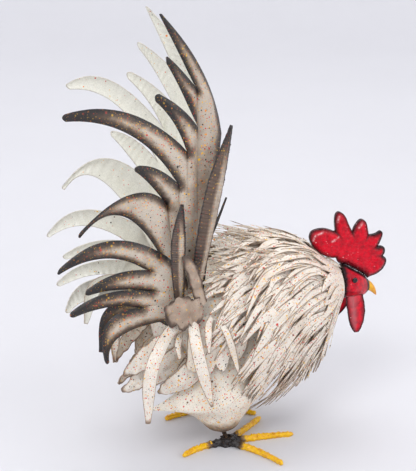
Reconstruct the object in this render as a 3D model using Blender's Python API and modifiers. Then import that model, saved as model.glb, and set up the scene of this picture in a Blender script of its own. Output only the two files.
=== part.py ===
"""A rooster cut, hammered and welded from painted scrap sheet and rod.

The bird faces +X and stands on z = 0, and its own right side is -Y. Everything is in metres. The form is
written in parts of the bird's height; walls, rods, wires and clearances are sizes of their own.
"""

import math
import random
from bisect import bisect_right

import bmesh
import bpy
from mathutils import Vector

# The whole bird, and one part of its form: a millimetre on the bird as built.
HEIGHT = 0.550
PART = HEIGHT / 550.0

# Sheet, rod, wire and solid pieces.
SHEET_WALL = 0.0012
WATTLE_WALL = 0.0030
COMB_THICKNESS = 0.0110
COMB_EDGE_ROUND = 0.0035
TOE_DIAMETER = 0.0098
TOE_TIP_DIAMETER = 0.0064
TOE_GRINDING = 0.15
HUB_DIAMETER = 0.0170
HUB_TOP_DIAMETER = 0.0110
HUB_HEIGHT = 0.0115
ANKLE_DIAMETER = 0.0064
EYE_DIAMETER = 0.0060
EYE_STANDING = 0.0016

# Clearances: between welded pieces, and between the layers of feathers.
FIT_GAP = 0.0004
LAYER_GAP = 0.0009

RIGHT, LEFT = -1, 1
SIDES = (("right", RIGHT), ("left", LEFT))
SEED = 7

# The body shell by stations along the bird, in parts: place, top, bottom, half width.
BODY = (
    (-82, 200, 146, 15),
    (-77, 212, 128, 27),
    (-66, 223, 104, 41),
    (-48, 230, 82, 56),
    (-28, 231, 71, 66),
    (0, 232, 66, 74),
    (30, 243, 66, 77),
    (60, 246, 71, 73),
    (90, 243, 82, 62),
    (117, 230, 98, 49),
    (138, 212, 121, 35),
    (153, 202, 150, 24),
    (164, 196, 174, 14),
)
BODY_SEGMENTS = 18
BODY_STEPS = 12

# The head: the same, from the neck to the root of the beak.
HEAD = (
    (165.4, 205, 169, 14),
    (167, 209.5, 165, 16.5),
    (173, 208.5, 163, 18.5),
    (181, 203.5, 162.5, 19),
    (190, 198, 163, 17.5),
    (198, 192.5, 165.5, 13.5),
    (203, 187, 169, 9),
)
HEAD_SEGMENTS = 16
HEAD_STEPS = 8

# The beak: place along the bird, top, bottom, half width.
BEAK = (
    (203.6, 184.5, 170.5, 6.5),
    (208, 182, 168.5, 5.6),
    (212, 177.5, 165.5, 4.2),
    (215.3, 171.5, 162.8, 2.4),
    (216.8, 166, 161.8, 1.0),
)
BEAK_SEGMENTS = 8
BEAK_STEPS = 5

EYE_PLACE = (179, 193)
EYE_SEGMENTS = 8
EYE_RINGS = 5

# The comb's free edge, lobe by lobe from the rear, each from the notch behind it. Then the places between
# which the comb sits on the head.
COMB_LOBES = (
    ((159, 219.7), (150.7, 220.5), (138.5, 226.6), (128.6, 235.9), (123.6, 244.8), (122.6, 251.4),
     (125.7, 257.7), (134, 260.2), (144.7, 259.7)),
    ((157.3, 254.5), (156, 264.4), (155.9, 273.8), (157.9, 278.9), (161.7, 280.6), (167, 277.6),
     (171, 271.9), (174.7, 263.2)),
    ((180.3, 252.3), (183.3, 259.4), (188, 265.9), (192.7, 267.9), (198, 264.3), (200.5, 256.6)),
    ((202.7, 246.2), (210.7, 246.3), (215.3, 248.3), (219.1, 250.1), (221.7, 246.5), (220.2, 239.7)),
    ((215.4, 228.7), (220, 229.5), (224.4, 227.6), (226, 222.2)),
    ((223.7, 215.7), (226.9, 212.9), (228.4, 207.9), (224.1, 198.5), (215.4, 192), (206.2, 189.6)),
)
COMB_SEAT = (162, 203)
COMB_SEAT_POINTS = 7
COMB_CUTS = 1
NAPE_SLOPE = 0.6

# Wattles, from their root under the chin to the tip: place along, out from the middle, up.
WATTLES = {
    RIGHT: ((179, 15.5, 171), (182, 18, 147), (183.7, 16, 122)),
    LEFT: ((179, 15.5, 171), (176, 18, 152), (170, 16, 134)),
}
WATTLE_WIDTHS = ((0, 21), (0.35, 22), (0.68, 18), (0.88, 11), (1, 4))
WATTLE_ROWS = 6
WATTLE_CROWN = 0.10

# Thighs by height: up, front, middle, rear, out from the middle, half depth, sharpness of the rear edge.
THIGH = (
    (22, 3, -5, -12, 48, 6.5, 0),
    (27, 13, -5, -23, 48, 13, 0),
    (38, 20, -6, -34, 48.5, 19, 0.1),
    (49, 28, -8, -46, 49, 23, 0.35),
    (57, 32, -10, -66, 50, 26, 0.75),
    (63, 35, -12, -98, 50.5, 28, 0.95),
    (71, 39, -12, -84, 50, 30, 0.9),
    (86, 46, -8, -58, 48, 31, 0.5),
    (102, 53, -4, -45, 45, 30, 0.2),
    (118, 57, 0, -38, 41, 30, 0),
    (133, 54, 4, -30, 36, 27, 0),
)
THIGH_SEGMENTS = 16

# Feet: the hub's place, and each toe's bend and tip on the ground. Out is away from the bird's middle.
FEET = {
    RIGHT: {
        "hub": (0, 48),
        "toes": (
            ((46, 45), (90, 48)),
            ((30, 79), (51, 120)),
            ((30, 22), (64, -9)),
            ((-32, 51), (-61, 66)),
        ),
    },
    LEFT: {
        "hub": (4, 57),
        "toes": (
            ((50, 69), (93, 84)),
            ((30, 98), (47, 138)),
            ((38, 40), (62, 21)),
            ((-30, 48), (-57, 39)),
        ),
    },
}
TOE_SECTIONS = 5
TOE_SEGMENTS = 8
TOE_ARCH = 2.0
TOE_ARCH_SHARE = 0.3
TOE_END_SHARE = 0.72
HUB_SEGMENTS = 16
ANKLE_SECTIONS = 6
ANKLE_SEGMENTS = 8
ANKLE_TURNS = 0.75
ANKLE_LOBE = 0.18

# Hackle capes from the longest, on the body, to the shortest, at the head. Places along the bird, in parts.
CAPES = (
    {"root": 102, "slit": 74, "tip": -16, "low_tip": 8, "reach": 72, "strips": 17, "off": (1.8, 10.5)},
    {"root": 128, "slit": 106, "tip": 30, "low_tip": 76, "reach": 150, "strips": 20, "off": (4.0, 12.5)},
    {"root": 149, "slit": 134, "tip": 80, "low_tip": 106, "reach": 165, "strips": 17, "off": (6.2, 12.5)},
    {"root": 162, "slit": 153, "tip": 121, "low_tip": 134, "reach": 178, "strips": 13, "off": (8.6, 13.2)},
)
CAPE_ROWS = 4
CAPE_SLIT_ROW = 2
CAPE_SWEEP = math.radians(28)
CAPE_TIP_SCATTER = 9.0
CAPE_HANG = 26.0
CAPE_LEAF_SHARE = 0.40
CAPE_TIP_RADIUS = 1.6

# Tail fans. A rim runs root, waist, slit end; the number after them is the row at which the slit ends.
# Roots are (along, up, layer) on the body; the rest are (along, out, up).
FAN_ROWS = 9
UPPER_RIMS = (
    ((-28, 212, 0), (-12, 36, 330), (-3, 30, 402), 5),
    ((-34, 211, 0), (-36, 42, 330), (-37, 45, 461), 6),
    ((-40, 209, 0), (-40, 46, 320), (-38, 52, 417), 5),
    ((-46, 207, 0), (-49, 48, 300), (-51, 55, 390), 5),
    ((-52, 204, 0), (-57, 45, 280), (-60, 50, 349), 4),
    ((-59, 202, 0), (-68, 44, 262), (-73, 45, 325), 4),
    ((-65, 198, 0), (-70, 41, 222), (-72, 40, 243), 3),
)
UPPER_LEAVES = {
    RIGHT: (
        ((-75, 30, 547), (-26, 33, 476), (-56, 35, 505), 3.5),
        ((-78, 62, 503), (-60, 55, 488), (-58, 55, 464), 4.8),
        ((-91, 63, 461), (-59, 60, 442), (-67, 60, 426), 5.2),
        ((-199, 70, 444), (-122, 65, 442), (-119, 65, 417), 4.4),
        ((-114, 55, 376), (-84, 52, 369), (-96, 52, 355), 4.4),
        ((-183, 60, 300), (-118, 55, 343), (-127, 55, 318), 4.0),
    ),
    LEFT: (
        ((-76, 30, 545), (-26, 33, 476), (-57, 35, 503), 3.5),
        ((-81, 62, 496), (-61, 55, 484), (-60, 55, 461), 4.8),
        ((-94, 63, 460), (-60, 60, 441), (-69, 60, 425), 5.2),
        ((-168, 70, 447), (-112, 65, 450), (-107, 65, 421), 4.4),
        ((-117, 55, 390), (-85, 52, 376), (-97, 52, 361), 4.4),
        ((-179, 60, 322), (-126, 55, 357), (-130, 55, 330), 4.0),
    ),
}
LOWER_RIMS = (
    ((-49, 222, 9), (-61, 58, 247), (-76, 52, 262), 3),
    ((-51, 213, 7), (-74, 56, 236), (-99, 52, 247), 4),
    ((-56, 202, 4), (-76, 55, 216), (-97, 52, 221), 4),
    ((-60, 191, 3), (-84, 54, 202), (-109, 52, 200), 4),
    ((-62, 180, 3), (-70, 51, 178), (-77, 48, 179), 3),
)
LOWER_LEAVES = {
    RIGHT: (
        ((-209, 60, 258), (-144, 58, 290), (-151, 58, 270), 4.0),
        ((-177, 60, 229), (-139, 57, 248), (-136, 57, 229), 4.0),
        ((-196, 60, 203), (-152, 58, 225), (-144, 58, 209), 4.0),
        ((-153, 56, 135), (-150, 57, 188), (-135, 56, 169), 4.4),
    ),
    LEFT: (
        ((-200, 60, 262), (-148, 58, 292), (-150, 58, 272), 4.0),
        ((-181, 60, 232), (-140, 57, 250), (-137, 57, 231), 4.0),
        ((-190, 60, 196), (-148, 58, 222), (-142, 58, 206), 4.0),
        ((-180, 58, 158), (-156, 57, 196), (-143, 56, 176), 4.4),
    ),
}
FAN_CROWN = 0.20
PALM_CROWN = 0.25
TIP_SHOULDER = 0.8

# Long feathers: stops of the middle line, widths by share of the length, crown, facing (out, up, along).
# The first stop is (along, up, layer) on the body, the rest are (along, out, up).
FEATHERS = {
    "sickle_long": (((-40, 216, 6), (-30, 58, 290), (-18, 56, 345), (5, 46, 415)),
                    ((0, 15), (0.35, 22), (0.65, 22), (0.85, 13), (1, 2.4)), 0.22, (1, 0, 0.35), 8),
    "sickle_small": (((-62, 205, 11), (-66, 68, 250), (-65, 66, 285), (-59, 60, 328)),
                     ((0, 10), (0.35, 15), (0.65, 16), (0.85, 9), (1, 2.4)), 0.20, (1, 0, 0), 6),
    "sickle_thin": (((-33, 216, 0), (-17, 23, 262), (-4, 21, 292), (7, 20, 319)),
                    ((0, 4.5), (0.5, 4.0), (1, 1.6)), 0.15, (1, 0, 0.2), 5),
    "side_feather": (((-66, 172, 1), (-100, 43, 196), (-142, 45, 194), (-157, 45, 146)),
                     ((0, 12), (0.4, 20), (0.75, 16), (1, 4)), 0.16, (1, 0, 0), 7),
    "tail_curl": (((-38, 205, 11), (-44, 70, 226), (-50, 75, 246), (-59, 74, 268)),
                  ((0, 11), (0.4, 13), (0.8, 11), (1, 6)), 0.22, (1, 0, 0), 6),
    "tail_scrap": (((-38, 196, 10), (-52, 76, 198), (-68, 77, 200), (-84, 72, 198)),
                   ((0, 12), (0.3, 25), (0.65, 27), (0.9, 14), (1, 3)), 0.06, (1, 0, 0), 5),
    "saddle_wide": (((-54, 178, 3), (-78, 70, 172), (-106, 92, 135), (-111, 91, 67)),
                    ((0, 11), (0.3, 15), (0.7, 15), (1, 5)), 0.20, (1, 0.2, 0), 8),
    "saddle_long": (((-42, 190, 4), (-49, 71, 184), (-49, 94, 150), (-32, 95, 80)),
                    ((0, 11), (0.3, 14), (0.7, 13), (1, 2.4)), 0.20, (1, 0.2, 0), 8),
    "saddle_rear": (((-58, 160, 1), (-64, 64, 162), (-69, 75, 154), (-68, 80, 140)),
                    ((0, 7), (0.5, 8), (1, 3)), 0.16, (1, 0.2, 0), 5),
    "saddle_middle": (((-26, 184, 4), (-31, 76, 180), (-34, 85, 167), (-34, 88, 147)),
                      ((0, 7), (0.5, 8), (1, 2.4)), 0.16, (1, 0.2, 0), 5),
    "saddle_front": (((-14, 176, 5), (-9, 85, 164), (-3, 88, 142), (4, 88, 114)),
                     ((0, 7), (0.5, 7.5), (1, 1.8)), 0.16, (1, 0.2, 0), 6),
    "flank_leaf": (((-36, 130, 1), (-52, 69.5, 117), (-72, 67, 102), (-91, 61, 92)),
                   ((0, 22), (0.35, 33), (0.7, 27), (1, 3)), 0.12, (1, -0.25, 0), 6),
    "rump_leaf_high": (((-64, 158, 0), (-84, 42, 142), (-106, 36, 122), (-124, 22, 101)),
                       ((0, 18), (0.35, 24), (0.7, 20), (1, 3)), 0.12, (1, 0.2, -0.3), 6),
    "rump_leaf_middle": (((-56, 140, 0), (-70, 52, 128), (-82, 48, 112), (-91, 38, 92)),
                         ((0, 16), (0.35, 24), (0.7, 21), (1, 4)), 0.12, (1, 0.1, -0.2), 6),
    "rump_leaf_low": (((-66, 126, 0), (-84, 28, 108), (-104, 20, 90), (-124, 10, 74)),
                      ((0, 14), (0.35, 24), (0.7, 18), (1, 3)), 0.12, (1, 0.3, -0.3), 6),
}
BROWN_FEATHERS = ("sickle_long", "sickle_small", "sickle_thin", "side_feather")
BARE_FEATHERS = ("tail_curl", "tail_scrap")

# The wing sheet on each flank, cut into scallops: rims and leaves as for the fans.
WING_ROWS = 5
WING_CROWN = 0.04
WING_RIMS = (
    ((22, 190, 0), (20, 79.5, 166), (14, 80, 142), 4),
    ((4, 188, 0), (0, 77.5, 160), (-5, 79.5, 136), 4),
    ((-16, 186, 0), (-20, 75, 158), (-23, 79, 127), 4),
    ((-35, 182, 0), (-38, 70, 156), (-41, 77, 124), 4),
    ((-50, 172, 0), (-54, 64, 156), (-58, 73, 136), 4),
)
WING_LEAVES = (
    ((2, 80, 127), (9, 80, 134), (-2, 80, 130), 3.0),
    ((-14, 80, 117), (-8, 80, 126), (-20, 80, 121), 3.0),
    ((-34, 79, 112), (-27, 80, 119), (-39, 79, 117), 3.0),
    ((-55, 78, 124), (-47, 79, 121), (-60, 77, 129), 3.0),
)

PAINTS = {
    "white_paint": ((0.80, 0.77, 0.71), 0.45, 0.0),
    "brown_edged_paint": ((0.36, 0.30, 0.25), 0.40, 0.0),
    "bare_brown_metal": ((0.24, 0.17, 0.13), 0.70, 0.3),
    "red_enamel": ((0.62, 0.02, 0.03), 0.22, 0.0),
    "yellow_paint": ((0.90, 0.52, 0.03), 0.35, 0.0),
    "black_wire": ((0.03, 0.028, 0.026), 0.5, 0.6),
    "black_gloss": ((0.01, 0.01, 0.01), 0.12, 0.0),
}


def paint(name):
    """The material of that name, made on first use."""
    found = bpy.data.materials.get(name)
    if found:
        return found
    colour, roughness, metallic = PAINTS[name]
    made = bpy.data.materials.new(name)
    made.use_nodes = True
    shader = made.node_tree.nodes["Principled BSDF"]
    shader.inputs["Base Color"].default_value = (*colour, 1.0)
    shader.inputs["Roughness"].default_value = roughness
    shader.inputs["Metallic"].default_value = metallic
    made.diffuse_color = (*colour, 1.0)
    return made


def in_metres(point):
    """A point of the form, given in parts, in metres."""
    return Vector(point) * PART


def along(stations, place):
    """The values at a place along a free form, on a smooth curve through its stations."""
    places = [row[0] for row in stations]
    last = len(places) - 1
    i = min(max(bisect_right(places, place) - 1, 0), last - 1)
    before, start, end, after = (stations[min(max(k, 0), last)] for k in (i - 1, i, i + 1, i + 2))
    span = end[0] - start[0]
    t = (place - start[0]) / span
    values = []
    for a, b, c, d in zip(before[1:], start[1:], end[1:], after[1:]):
        leaving = (c - a) / max(end[0] - before[0], span) * span
        arriving = (d - b) / max(after[0] - start[0], span) * span
        values.append(
            (2 * t**3 - 3 * t**2 + 1) * b
            + (t**3 - 2 * t**2 + t) * leaving
            + (3 * t**2 - 2 * t**3) * c
            + (t**3 - t**2) * arriving
        )
    return values


def bow(start, middle, end, share):
    """A point on the arc that leaves start, passes middle at its half and reaches end."""
    pull = 2 * middle - 0.5 * (start + end)
    rest = 1 - share
    return rest * rest * start + 2 * share * rest * pull + share * share * end


def through(stops, share):
    """A point on a smooth curve through the stops, by its share of their chords."""
    reach = [0.0]
    for a, b in zip(stops, stops[1:]):
        reach.append(reach[-1] + (b - a).length)
    rows = [(d / reach[-1], *p) for d, p in zip(reach, stops)]
    return Vector(along(rows, share))


def skin(place, angle, off=0.0):
    """A point off the body shell by so many metres. Angle 0 is the back, and it turns down the +Y side."""
    top, bottom, half = along(BODY, place)
    high = (top - bottom) / 2 * PART + off
    wide = half * PART + off
    middle = (top + bottom) / 2 * PART
    return Vector((place * PART, wide * math.sin(angle), middle + high * math.cos(angle)))


def seat(place, up, layer):
    """The root of a feather on the body at a place and height, with room for that many sheets below it."""
    top, bottom, _ = along(BODY, place)
    share = (2 * up - top - bottom) / (top - bottom)
    angle = math.acos(min(max(share, -1.0), 1.0))
    root = skin(place, angle, FIT_GAP + LAYER_GAP)
    root.y += layer * (SHEET_WALL + LAYER_GAP)
    return root


def mesh_object(name, mesh, material, smooth_angle=math.radians(40)):
    """An object in the bird's collection, shaded smooth but for its sharp edges."""
    made = bpy.data.objects.new(name, mesh)
    bird.objects.link(made)
    made.parent = stand
    mesh.materials.append(paint(material))
    mesh.shade_smooth()
    mesh.set_sharp_from_angle(angle=smooth_angle)
    return made


def finished(name, sheet, material):
    """The bmesh as an object, with its doubles merged."""
    bmesh.ops.remove_doubles(sheet, verts=sheet.verts, dist=1e-6)
    mesh = bpy.data.meshes.new(name)
    sheet.to_mesh(mesh)
    sheet.free()
    return mesh_object(name, mesh, material)


def add_grid(sheet, rows):
    """Quads between rows of points."""
    grid = [[sheet.verts.new(point) for point in row] for row in rows]
    for low, high in zip(grid, grid[1:]):
        for i in range(len(low) - 1):
            sheet.faces.new((low[i], low[i + 1], high[i + 1], high[i]))


def walled(name, sheet, outward, side, wall, material):
    """An open sheet laid out on the +Y side, as a walled piece on its own side, its wall outside the sheet."""
    bmesh.ops.remove_doubles(sheet, verts=sheet.verts, dist=1e-6)
    facing = 0.0
    for face in sheet.faces:
        face.normal_update()
        facing += face.normal.dot(outward(face.calc_center_median())) * face.calc_area()
    if facing < 0:
        bmesh.ops.reverse_faces(sheet, faces=sheet.faces)
    if side == RIGHT:
        for vert in sheet.verts:
            vert.co.y = -vert.co.y
        bmesh.ops.reverse_faces(sheet, faces=sheet.faces)
    made = finished(name, sheet, material)
    shell = made.modifiers.new("wall", "SOLIDIFY")
    shell.thickness = wall
    shell.offset = 1.0
    return made


def slit_sheet(rims, leaves, rows, cells, crown, outward):
    """A sheet that is whole at its root and slit into leaves. Gives a bmesh of the open surface.

    A rim is (root, waist, slit end, row of the slit end). A leaf is (tip, middle of its front edge, middle of
    its rear edge, radius of its tip). Two leaves share the rim between them up to the end of the slit.
    """
    sheet = bmesh.new()
    for first, second, leaf in zip(rims, rims[1:], leaves):
        tip, front, rear, tip_radius = leaf
        run = (tip - (front + rear) / 2).normalized()
        across = (front - rear).normalized()
        edges = []
        for rim, edge_middle, turn in ((first, front, 1), (second, rear, -1)):
            root, waist, slit, slit_row = rim
            end = tip - run * tip_radius + across * (turn * tip_radius * TIP_SHOULDER)
            lower = [bow(root, waist, slit, j / slit_row) for j in range(slit_row)]
            upper = [bow(slit, edge_middle, end, j / (rows - slit_row)) for j in range(rows - slit_row + 1)]
            edges.append(lower + upper)
        slit_row = max(first[3], second[3])
        grid = []
        for j, (a, b) in enumerate(zip(*edges)):
            out = outward((a + b) / 2)
            rise = min(1.0, j / slit_row)
            height = crown * (a - b).length * (PALM_CROWN + (1 - PALM_CROWN) * rise * rise)
            line = []
            for i in range(cells + 1):
                v = 2 * i / cells - 1
                point = a.lerp(b, i / cells) + out * (height * (1 - v * v))
                if j == rows:
                    point += run * (tip_radius * (1 - v * v))
                line.append(point)
            grid.append(line)
        add_grid(sheet, grid)
    return sheet


def strip_sheet(stops, widths, crown, facing, rows, cells):
    """A feather's open surface along a smooth middle line."""
    sheet = bmesh.new()
    grid = []
    step = 0.5 / rows
    for j in range(rows + 1):
        share = j / rows
        centre = through(stops, share)
        run = (through(stops, min(share + step, 1)) - through(stops, max(share - step, 0))).normalized()
        across = run.cross(facing).normalized()
        out = across.cross(run)
        half = max(along(widths, share)[0], widths[-1][1]) * PART / 2
        line = []
        for i in range(cells + 1):
            v = 2 * i / cells - 1
            line.append(centre + across * (v * half) + out * (2 * half * crown * (1 - v * v)))
        grid.append(line)
    add_grid(sheet, grid)
    return sheet


def sideways(_point):
    """The way out from the bird's middle, on the +Y side."""
    return Vector((0, 1, 0))


def add_ring_loft(made, rings):
    """Skins closed rings of points, and closes the two ends with a fan from their middles."""
    loops = [[made.verts.new(point) for point in ring] for ring in rings]
    count = len(loops[0])
    for low, high in zip(loops, loops[1:]):
        for i in range(count):
            k = (i + 1) % count
            made.faces.new((low[i], low[k], high[k], high[i]))
    for loop, turn in ((loops[0], -1), (loops[-1], 1)):
        middle = made.verts.new(sum((v.co for v in loop), Vector()) / count)
        for i in range(count):
            pair = (loop[i], loop[(i + 1) % count])
            made.faces.new((middle, *pair[::turn]))
    bmesh.ops.recalc_face_normals(made, faces=made.faces)


def loft_along(name, stations, segments, steps, material, grown=0.0):
    """A rounded form that runs along the bird, from its stations, grown all round if asked."""
    made = bmesh.new()
    rings = []
    for k in range(steps + 1):
        place = stations[0][0] + (stations[-1][0] - stations[0][0]) * (1 - math.cos(math.pi * k / steps)) / 2
        top, bottom, half = (value * PART for value in along(stations, place))
        if k == 0:
            x = place * PART - grown
        elif k == steps:
            x = place * PART + grown
        else:
            x = place * PART
        ring = []
        for i in range(segments):
            angle = 2 * math.pi * i / segments
            y = (half + grown) * math.sin(angle)
            z = (top + bottom) / 2 + ((top - bottom) / 2 + grown) * math.cos(angle)
            ring.append(Vector((x, y, z)))
        rings.append(ring)
    add_ring_loft(made, rings)
    bmesh.ops.triangulate(made, faces=made.faces, quad_method="FIXED")
    return finished(name, made, material)


def cut(piece, cutter, operation="DIFFERENCE"):
    """Booleans the cutter off the piece, or on to it."""
    change = piece.modifiers.new(operation.lower(), "BOOLEAN")
    change.operation = operation
    change.object = cutter
    change.solver = "EXACT"


def settle(piece):
    """The piece with its modifiers applied, as a plain mesh."""
    graph = bpy.context.evaluated_depsgraph_get()
    mesh = bpy.data.meshes.new_from_object(piece.evaluated_get(graph))
    piece.modifiers.clear()
    piece.data = mesh
    return piece


def as_cutter(piece):
    """Moves a piece to the cutters, out of the model."""
    bird.objects.unlink(piece)
    cutters.objects.link(piece)
    piece.hide_render = True
    piece.display_type = "WIRE"
    return piece


def make_body():
    """The body shell, from the rump to the neck."""
    loft_along("body_shell", BODY, BODY_SEGMENTS, BODY_STEPS, "white_paint")


def make_head():
    """Head, beak and eyes."""
    loft_along("head", HEAD, HEAD_SEGMENTS, HEAD_STEPS, "red_enamel")
    loft_along("beak", BEAK, BEAK_SEGMENTS, BEAK_STEPS, "yellow_paint")
    place, up = EYE_PLACE
    top, bottom, half = (value * PART for value in along(HEAD, place))
    lift = (up * PART - (top + bottom) / 2) / ((top - bottom) / 2)
    cheek = half * math.sqrt(1 - lift * lift)
    for label, side in SIDES:
        eye = bmesh.new()
        bmesh.ops.create_uvsphere(eye, u_segments=EYE_SEGMENTS, v_segments=EYE_RINGS, radius=EYE_DIAMETER / 2)
        bmesh.ops.scale(eye, verts=eye.verts, vec=(1, EYE_STANDING / (EYE_DIAMETER / 2), 1))
        out = cheek + FIT_GAP + EYE_STANDING
        bmesh.ops.translate(eye, verts=eye.verts, vec=(place * PART, side * out, up * PART))
        finished(f"{label}_eye", eye, "black_gloss")


def comb_outline():
    """The comb's outline as points: the free edge, then the seat along the crown of the head."""
    first, last = COMB_SEAT
    crown_line = []
    for k in range(COMB_SEAT_POINTS):
        place = last + (first - last) * k / (COMB_SEAT_POINTS - 1)
        if place > HEAD[1][0]:
            up = along(HEAD, place)[0]
        else:
            up = HEAD[1][1] + NAPE_SLOPE * (HEAD[1][0] - place)
        crown_line.append(Vector((place, 0, up + FIT_GAP / PART)))
    edge = []
    ends = [lobe[0] for lobe in COMB_LOBES[1:]] + [(crown_line[0].x, crown_line[0].z)]
    for lobe, end in zip(COMB_LOBES, ends):
        rows = [(k, x, 0, z) for k, (x, z) in enumerate((*lobe, end))]
        edge += [Vector(along(rows, k / COMB_CUTS)) for k in range(len(lobe) * COMB_CUTS)]
    return [point * PART for point in edge + crown_line]


def make_comb():
    """The comb, a thick plate with rounded edges that sits along the crown of the head."""
    line = bpy.data.curves.new("comb", "CURVE")
    line.dimensions = "2D"
    line.fill_mode = "BOTH"
    line.extrude = COMB_THICKNESS / 2 - COMB_EDGE_ROUND
    line.bevel_depth = COMB_EDGE_ROUND
    line.bevel_resolution = 1
    line.offset = -COMB_EDGE_ROUND
    points = comb_outline()
    spline = line.splines.new("POLY")
    spline.points.add(len(points) - 1)
    for spot, point in zip(spline.points, points):
        spot.co = (point.x, point.z, 0, 1)
    spline.use_cyclic_u = True
    flat = bpy.data.objects.new("comb_line", line)
    cutters.objects.link(flat)
    graph = bpy.context.evaluated_depsgraph_get()
    mesh = bpy.data.meshes.new_from_object(flat.evaluated_get(graph))
    bpy.data.objects.remove(flat)
    plate = bmesh.new()
    plate.from_mesh(mesh)
    bpy.data.meshes.remove(mesh)
    for vert in plate.verts:
        vert.co = Vector((vert.co.x, -vert.co.z, vert.co.y))
    bmesh.ops.remove_doubles(plate, verts=plate.verts, dist=1e-6)
    bmesh.ops.recalc_face_normals(plate, faces=plate.faces)
    finished("comb", plate, "red_enamel")


def make_wattles():
    """The two wattles under the chin."""
    for label, side in SIDES:
        stops = [in_metres(stop) for stop in WATTLES[side]]
        leaf = strip_sheet(stops, WATTLE_WIDTHS, WATTLE_CROWN, Vector((0, 1, 0)), WATTLE_ROWS, 2)
        walled(f"{label}_wattle", leaf, sideways, side, WATTLE_WALL, "red_enamel")


def make_thighs():
    """The two thighs, each a pointed cone whose top wraps the body shell."""
    body_room = as_cutter(loft_along("body_room", BODY, BODY_SEGMENTS, BODY_STEPS, "white_paint", FIT_GAP))
    for label, side in SIDES:
        made = bmesh.new()
        rings = []
        for up, front, middle, rear, out, half, sharp in THIGH:
            ring = []
            for i in range(THIGH_SEGMENTS):
                angle = 2 * math.pi * i / THIGH_SEGMENTS
                c, s = math.cos(angle), math.sin(angle)
                x = middle + c * ((front - middle) if c > 0 else (middle - rear))
                waist = 1 - sharp * c * c if c < 0 else 1.0
                y = out + half * s * waist
                ring.append(in_metres((x, side * y, up)))
            rings.append(ring)
        add_ring_loft(made, rings)
        thigh = finished(f"{label}_thigh", made, "white_paint")
        cut(thigh, body_room)
        settle(thigh)


def toe_path(hub, bend, tip):
    """Middle points and radii of a toe: a rod that leaves the hub on a small arch and lies along the ground."""
    middles = []
    for k in range(TOE_SECTIONS + 1):
        share = k / TOE_SECTIONS
        spot = bow(Vector(hub), Vector(bend), Vector(tip), share) * PART
        radius = (TOE_DIAMETER + (TOE_TIP_DIAMETER - TOE_DIAMETER) * share) / 2
        arch = TOE_ARCH * PART * max(0.0, 1 - share / TOE_ARCH_SHARE) ** 2
        middles.append((Vector((spot.x, spot.y, radius * (1 - TOE_GRINDING) + arch)), radius))
    return middles


def make_toe(name, path):
    """One toe as a closed rod."""
    made = bmesh.new()
    rings = []
    for k, (middle, radius) in enumerate(path):
        ahead = path[min(k + 1, len(path) - 1)][0]
        behind = path[max(k - 1, 0)][0]
        run = (ahead - behind).normalized()
        across = run.cross(Vector((0, 0, 1))).normalized()
        up = across.cross(run)
        thin = TOE_END_SHARE if k == len(path) - 1 else 1.0
        ring = []
        for i in range(TOE_SEGMENTS):
            angle = 2 * math.pi * (i + 0.5) / TOE_SEGMENTS
            ring.append(middle + (across * math.cos(angle) + up * math.sin(angle)) * radius * thin)
        rings.append(ring)
    add_ring_loft(made, rings)
    return finished(name, made, "yellow_paint")


def make_feet():
    """The feet: a hub with four toes welded on, ground flat below, and the wire that ties each to its thigh."""
    bpy.ops.mesh.primitive_cube_add(size=1)
    below = bpy.context.object
    below.name = "ground_room"
    for holder in below.users_collection:
        holder.objects.unlink(below)
    bird.objects.link(below)
    below.scale = (HEIGHT, HEIGHT, HUB_HEIGHT)
    below.location = (0, 0, -HUB_HEIGHT / 2)
    as_cutter(below)
    for label, side in SIDES:
        foot = FEET[side]
        hub = (foot["hub"][0], side * foot["hub"][1])
        made = bmesh.new()
        bmesh.ops.create_cone(made, cap_ends=True, segments=HUB_SEGMENTS, radius1=HUB_DIAMETER / 2,
                              radius2=HUB_TOP_DIAMETER / 2, depth=HUB_HEIGHT + TOE_DIAMETER / 2)
        drop = Vector((hub[0] * PART, hub[1] * PART, (HUB_HEIGHT - TOE_DIAMETER / 2) / 2))
        bmesh.ops.translate(made, verts=made.verts, vec=drop)
        welded = finished(f"{label}_foot", made, "yellow_paint")
        for number, (bend, tip) in enumerate(foot["toes"]):
            path = toe_path(hub, (bend[0], side * bend[1]), (tip[0], side * tip[1]))
            toe = as_cutter(make_toe(f"{label}_toe_{number}", path))
            cut(welded, toe, "UNION")
            settle(welded)
        cut(welded, below)
        settle(welded)
        make_ankle(label, hub)


def make_ankle(label, hub):
    """The twisted wire between a foot's hub and the tip of its thigh."""
    made = bmesh.new()
    rings = []
    toe_top = TOE_DIAMETER / 2 * (2 - TOE_GRINDING) + TOE_ARCH * PART
    low = max(HUB_HEIGHT, toe_top) + FIT_GAP
    high = THIGH[0][0] * PART - FIT_GAP
    side = RIGHT if label == "right" else LEFT
    thigh_end = Vector(((THIGH[0][1] + THIGH[0][3]) / 2, side * THIGH[0][4])) * PART
    foot_end = Vector(hub) * PART
    for k in range(ANKLE_SECTIONS):
        share = k / (ANKLE_SECTIONS - 1)
        middle = foot_end.lerp(thigh_end, share)
        ring = []
        for i in range(ANKLE_SEGMENTS):
            angle = 2 * math.pi * i / ANKLE_SEGMENTS
            lobe = 1 - ANKLE_LOBE + ANKLE_LOBE * math.cos(2 * (angle - 2 * math.pi * ANKLE_TURNS * share))
            radius = ANKLE_DIAMETER / 2 * lobe
            ring.append(Vector((middle.x + radius * math.cos(angle), middle.y + radius * math.sin(angle),
                                low + (high - low) * share)))
        rings.append(ring)
    add_ring_loft(made, rings)
    finished(f"{label}_ankle_wire", made, "black_wire")


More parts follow.
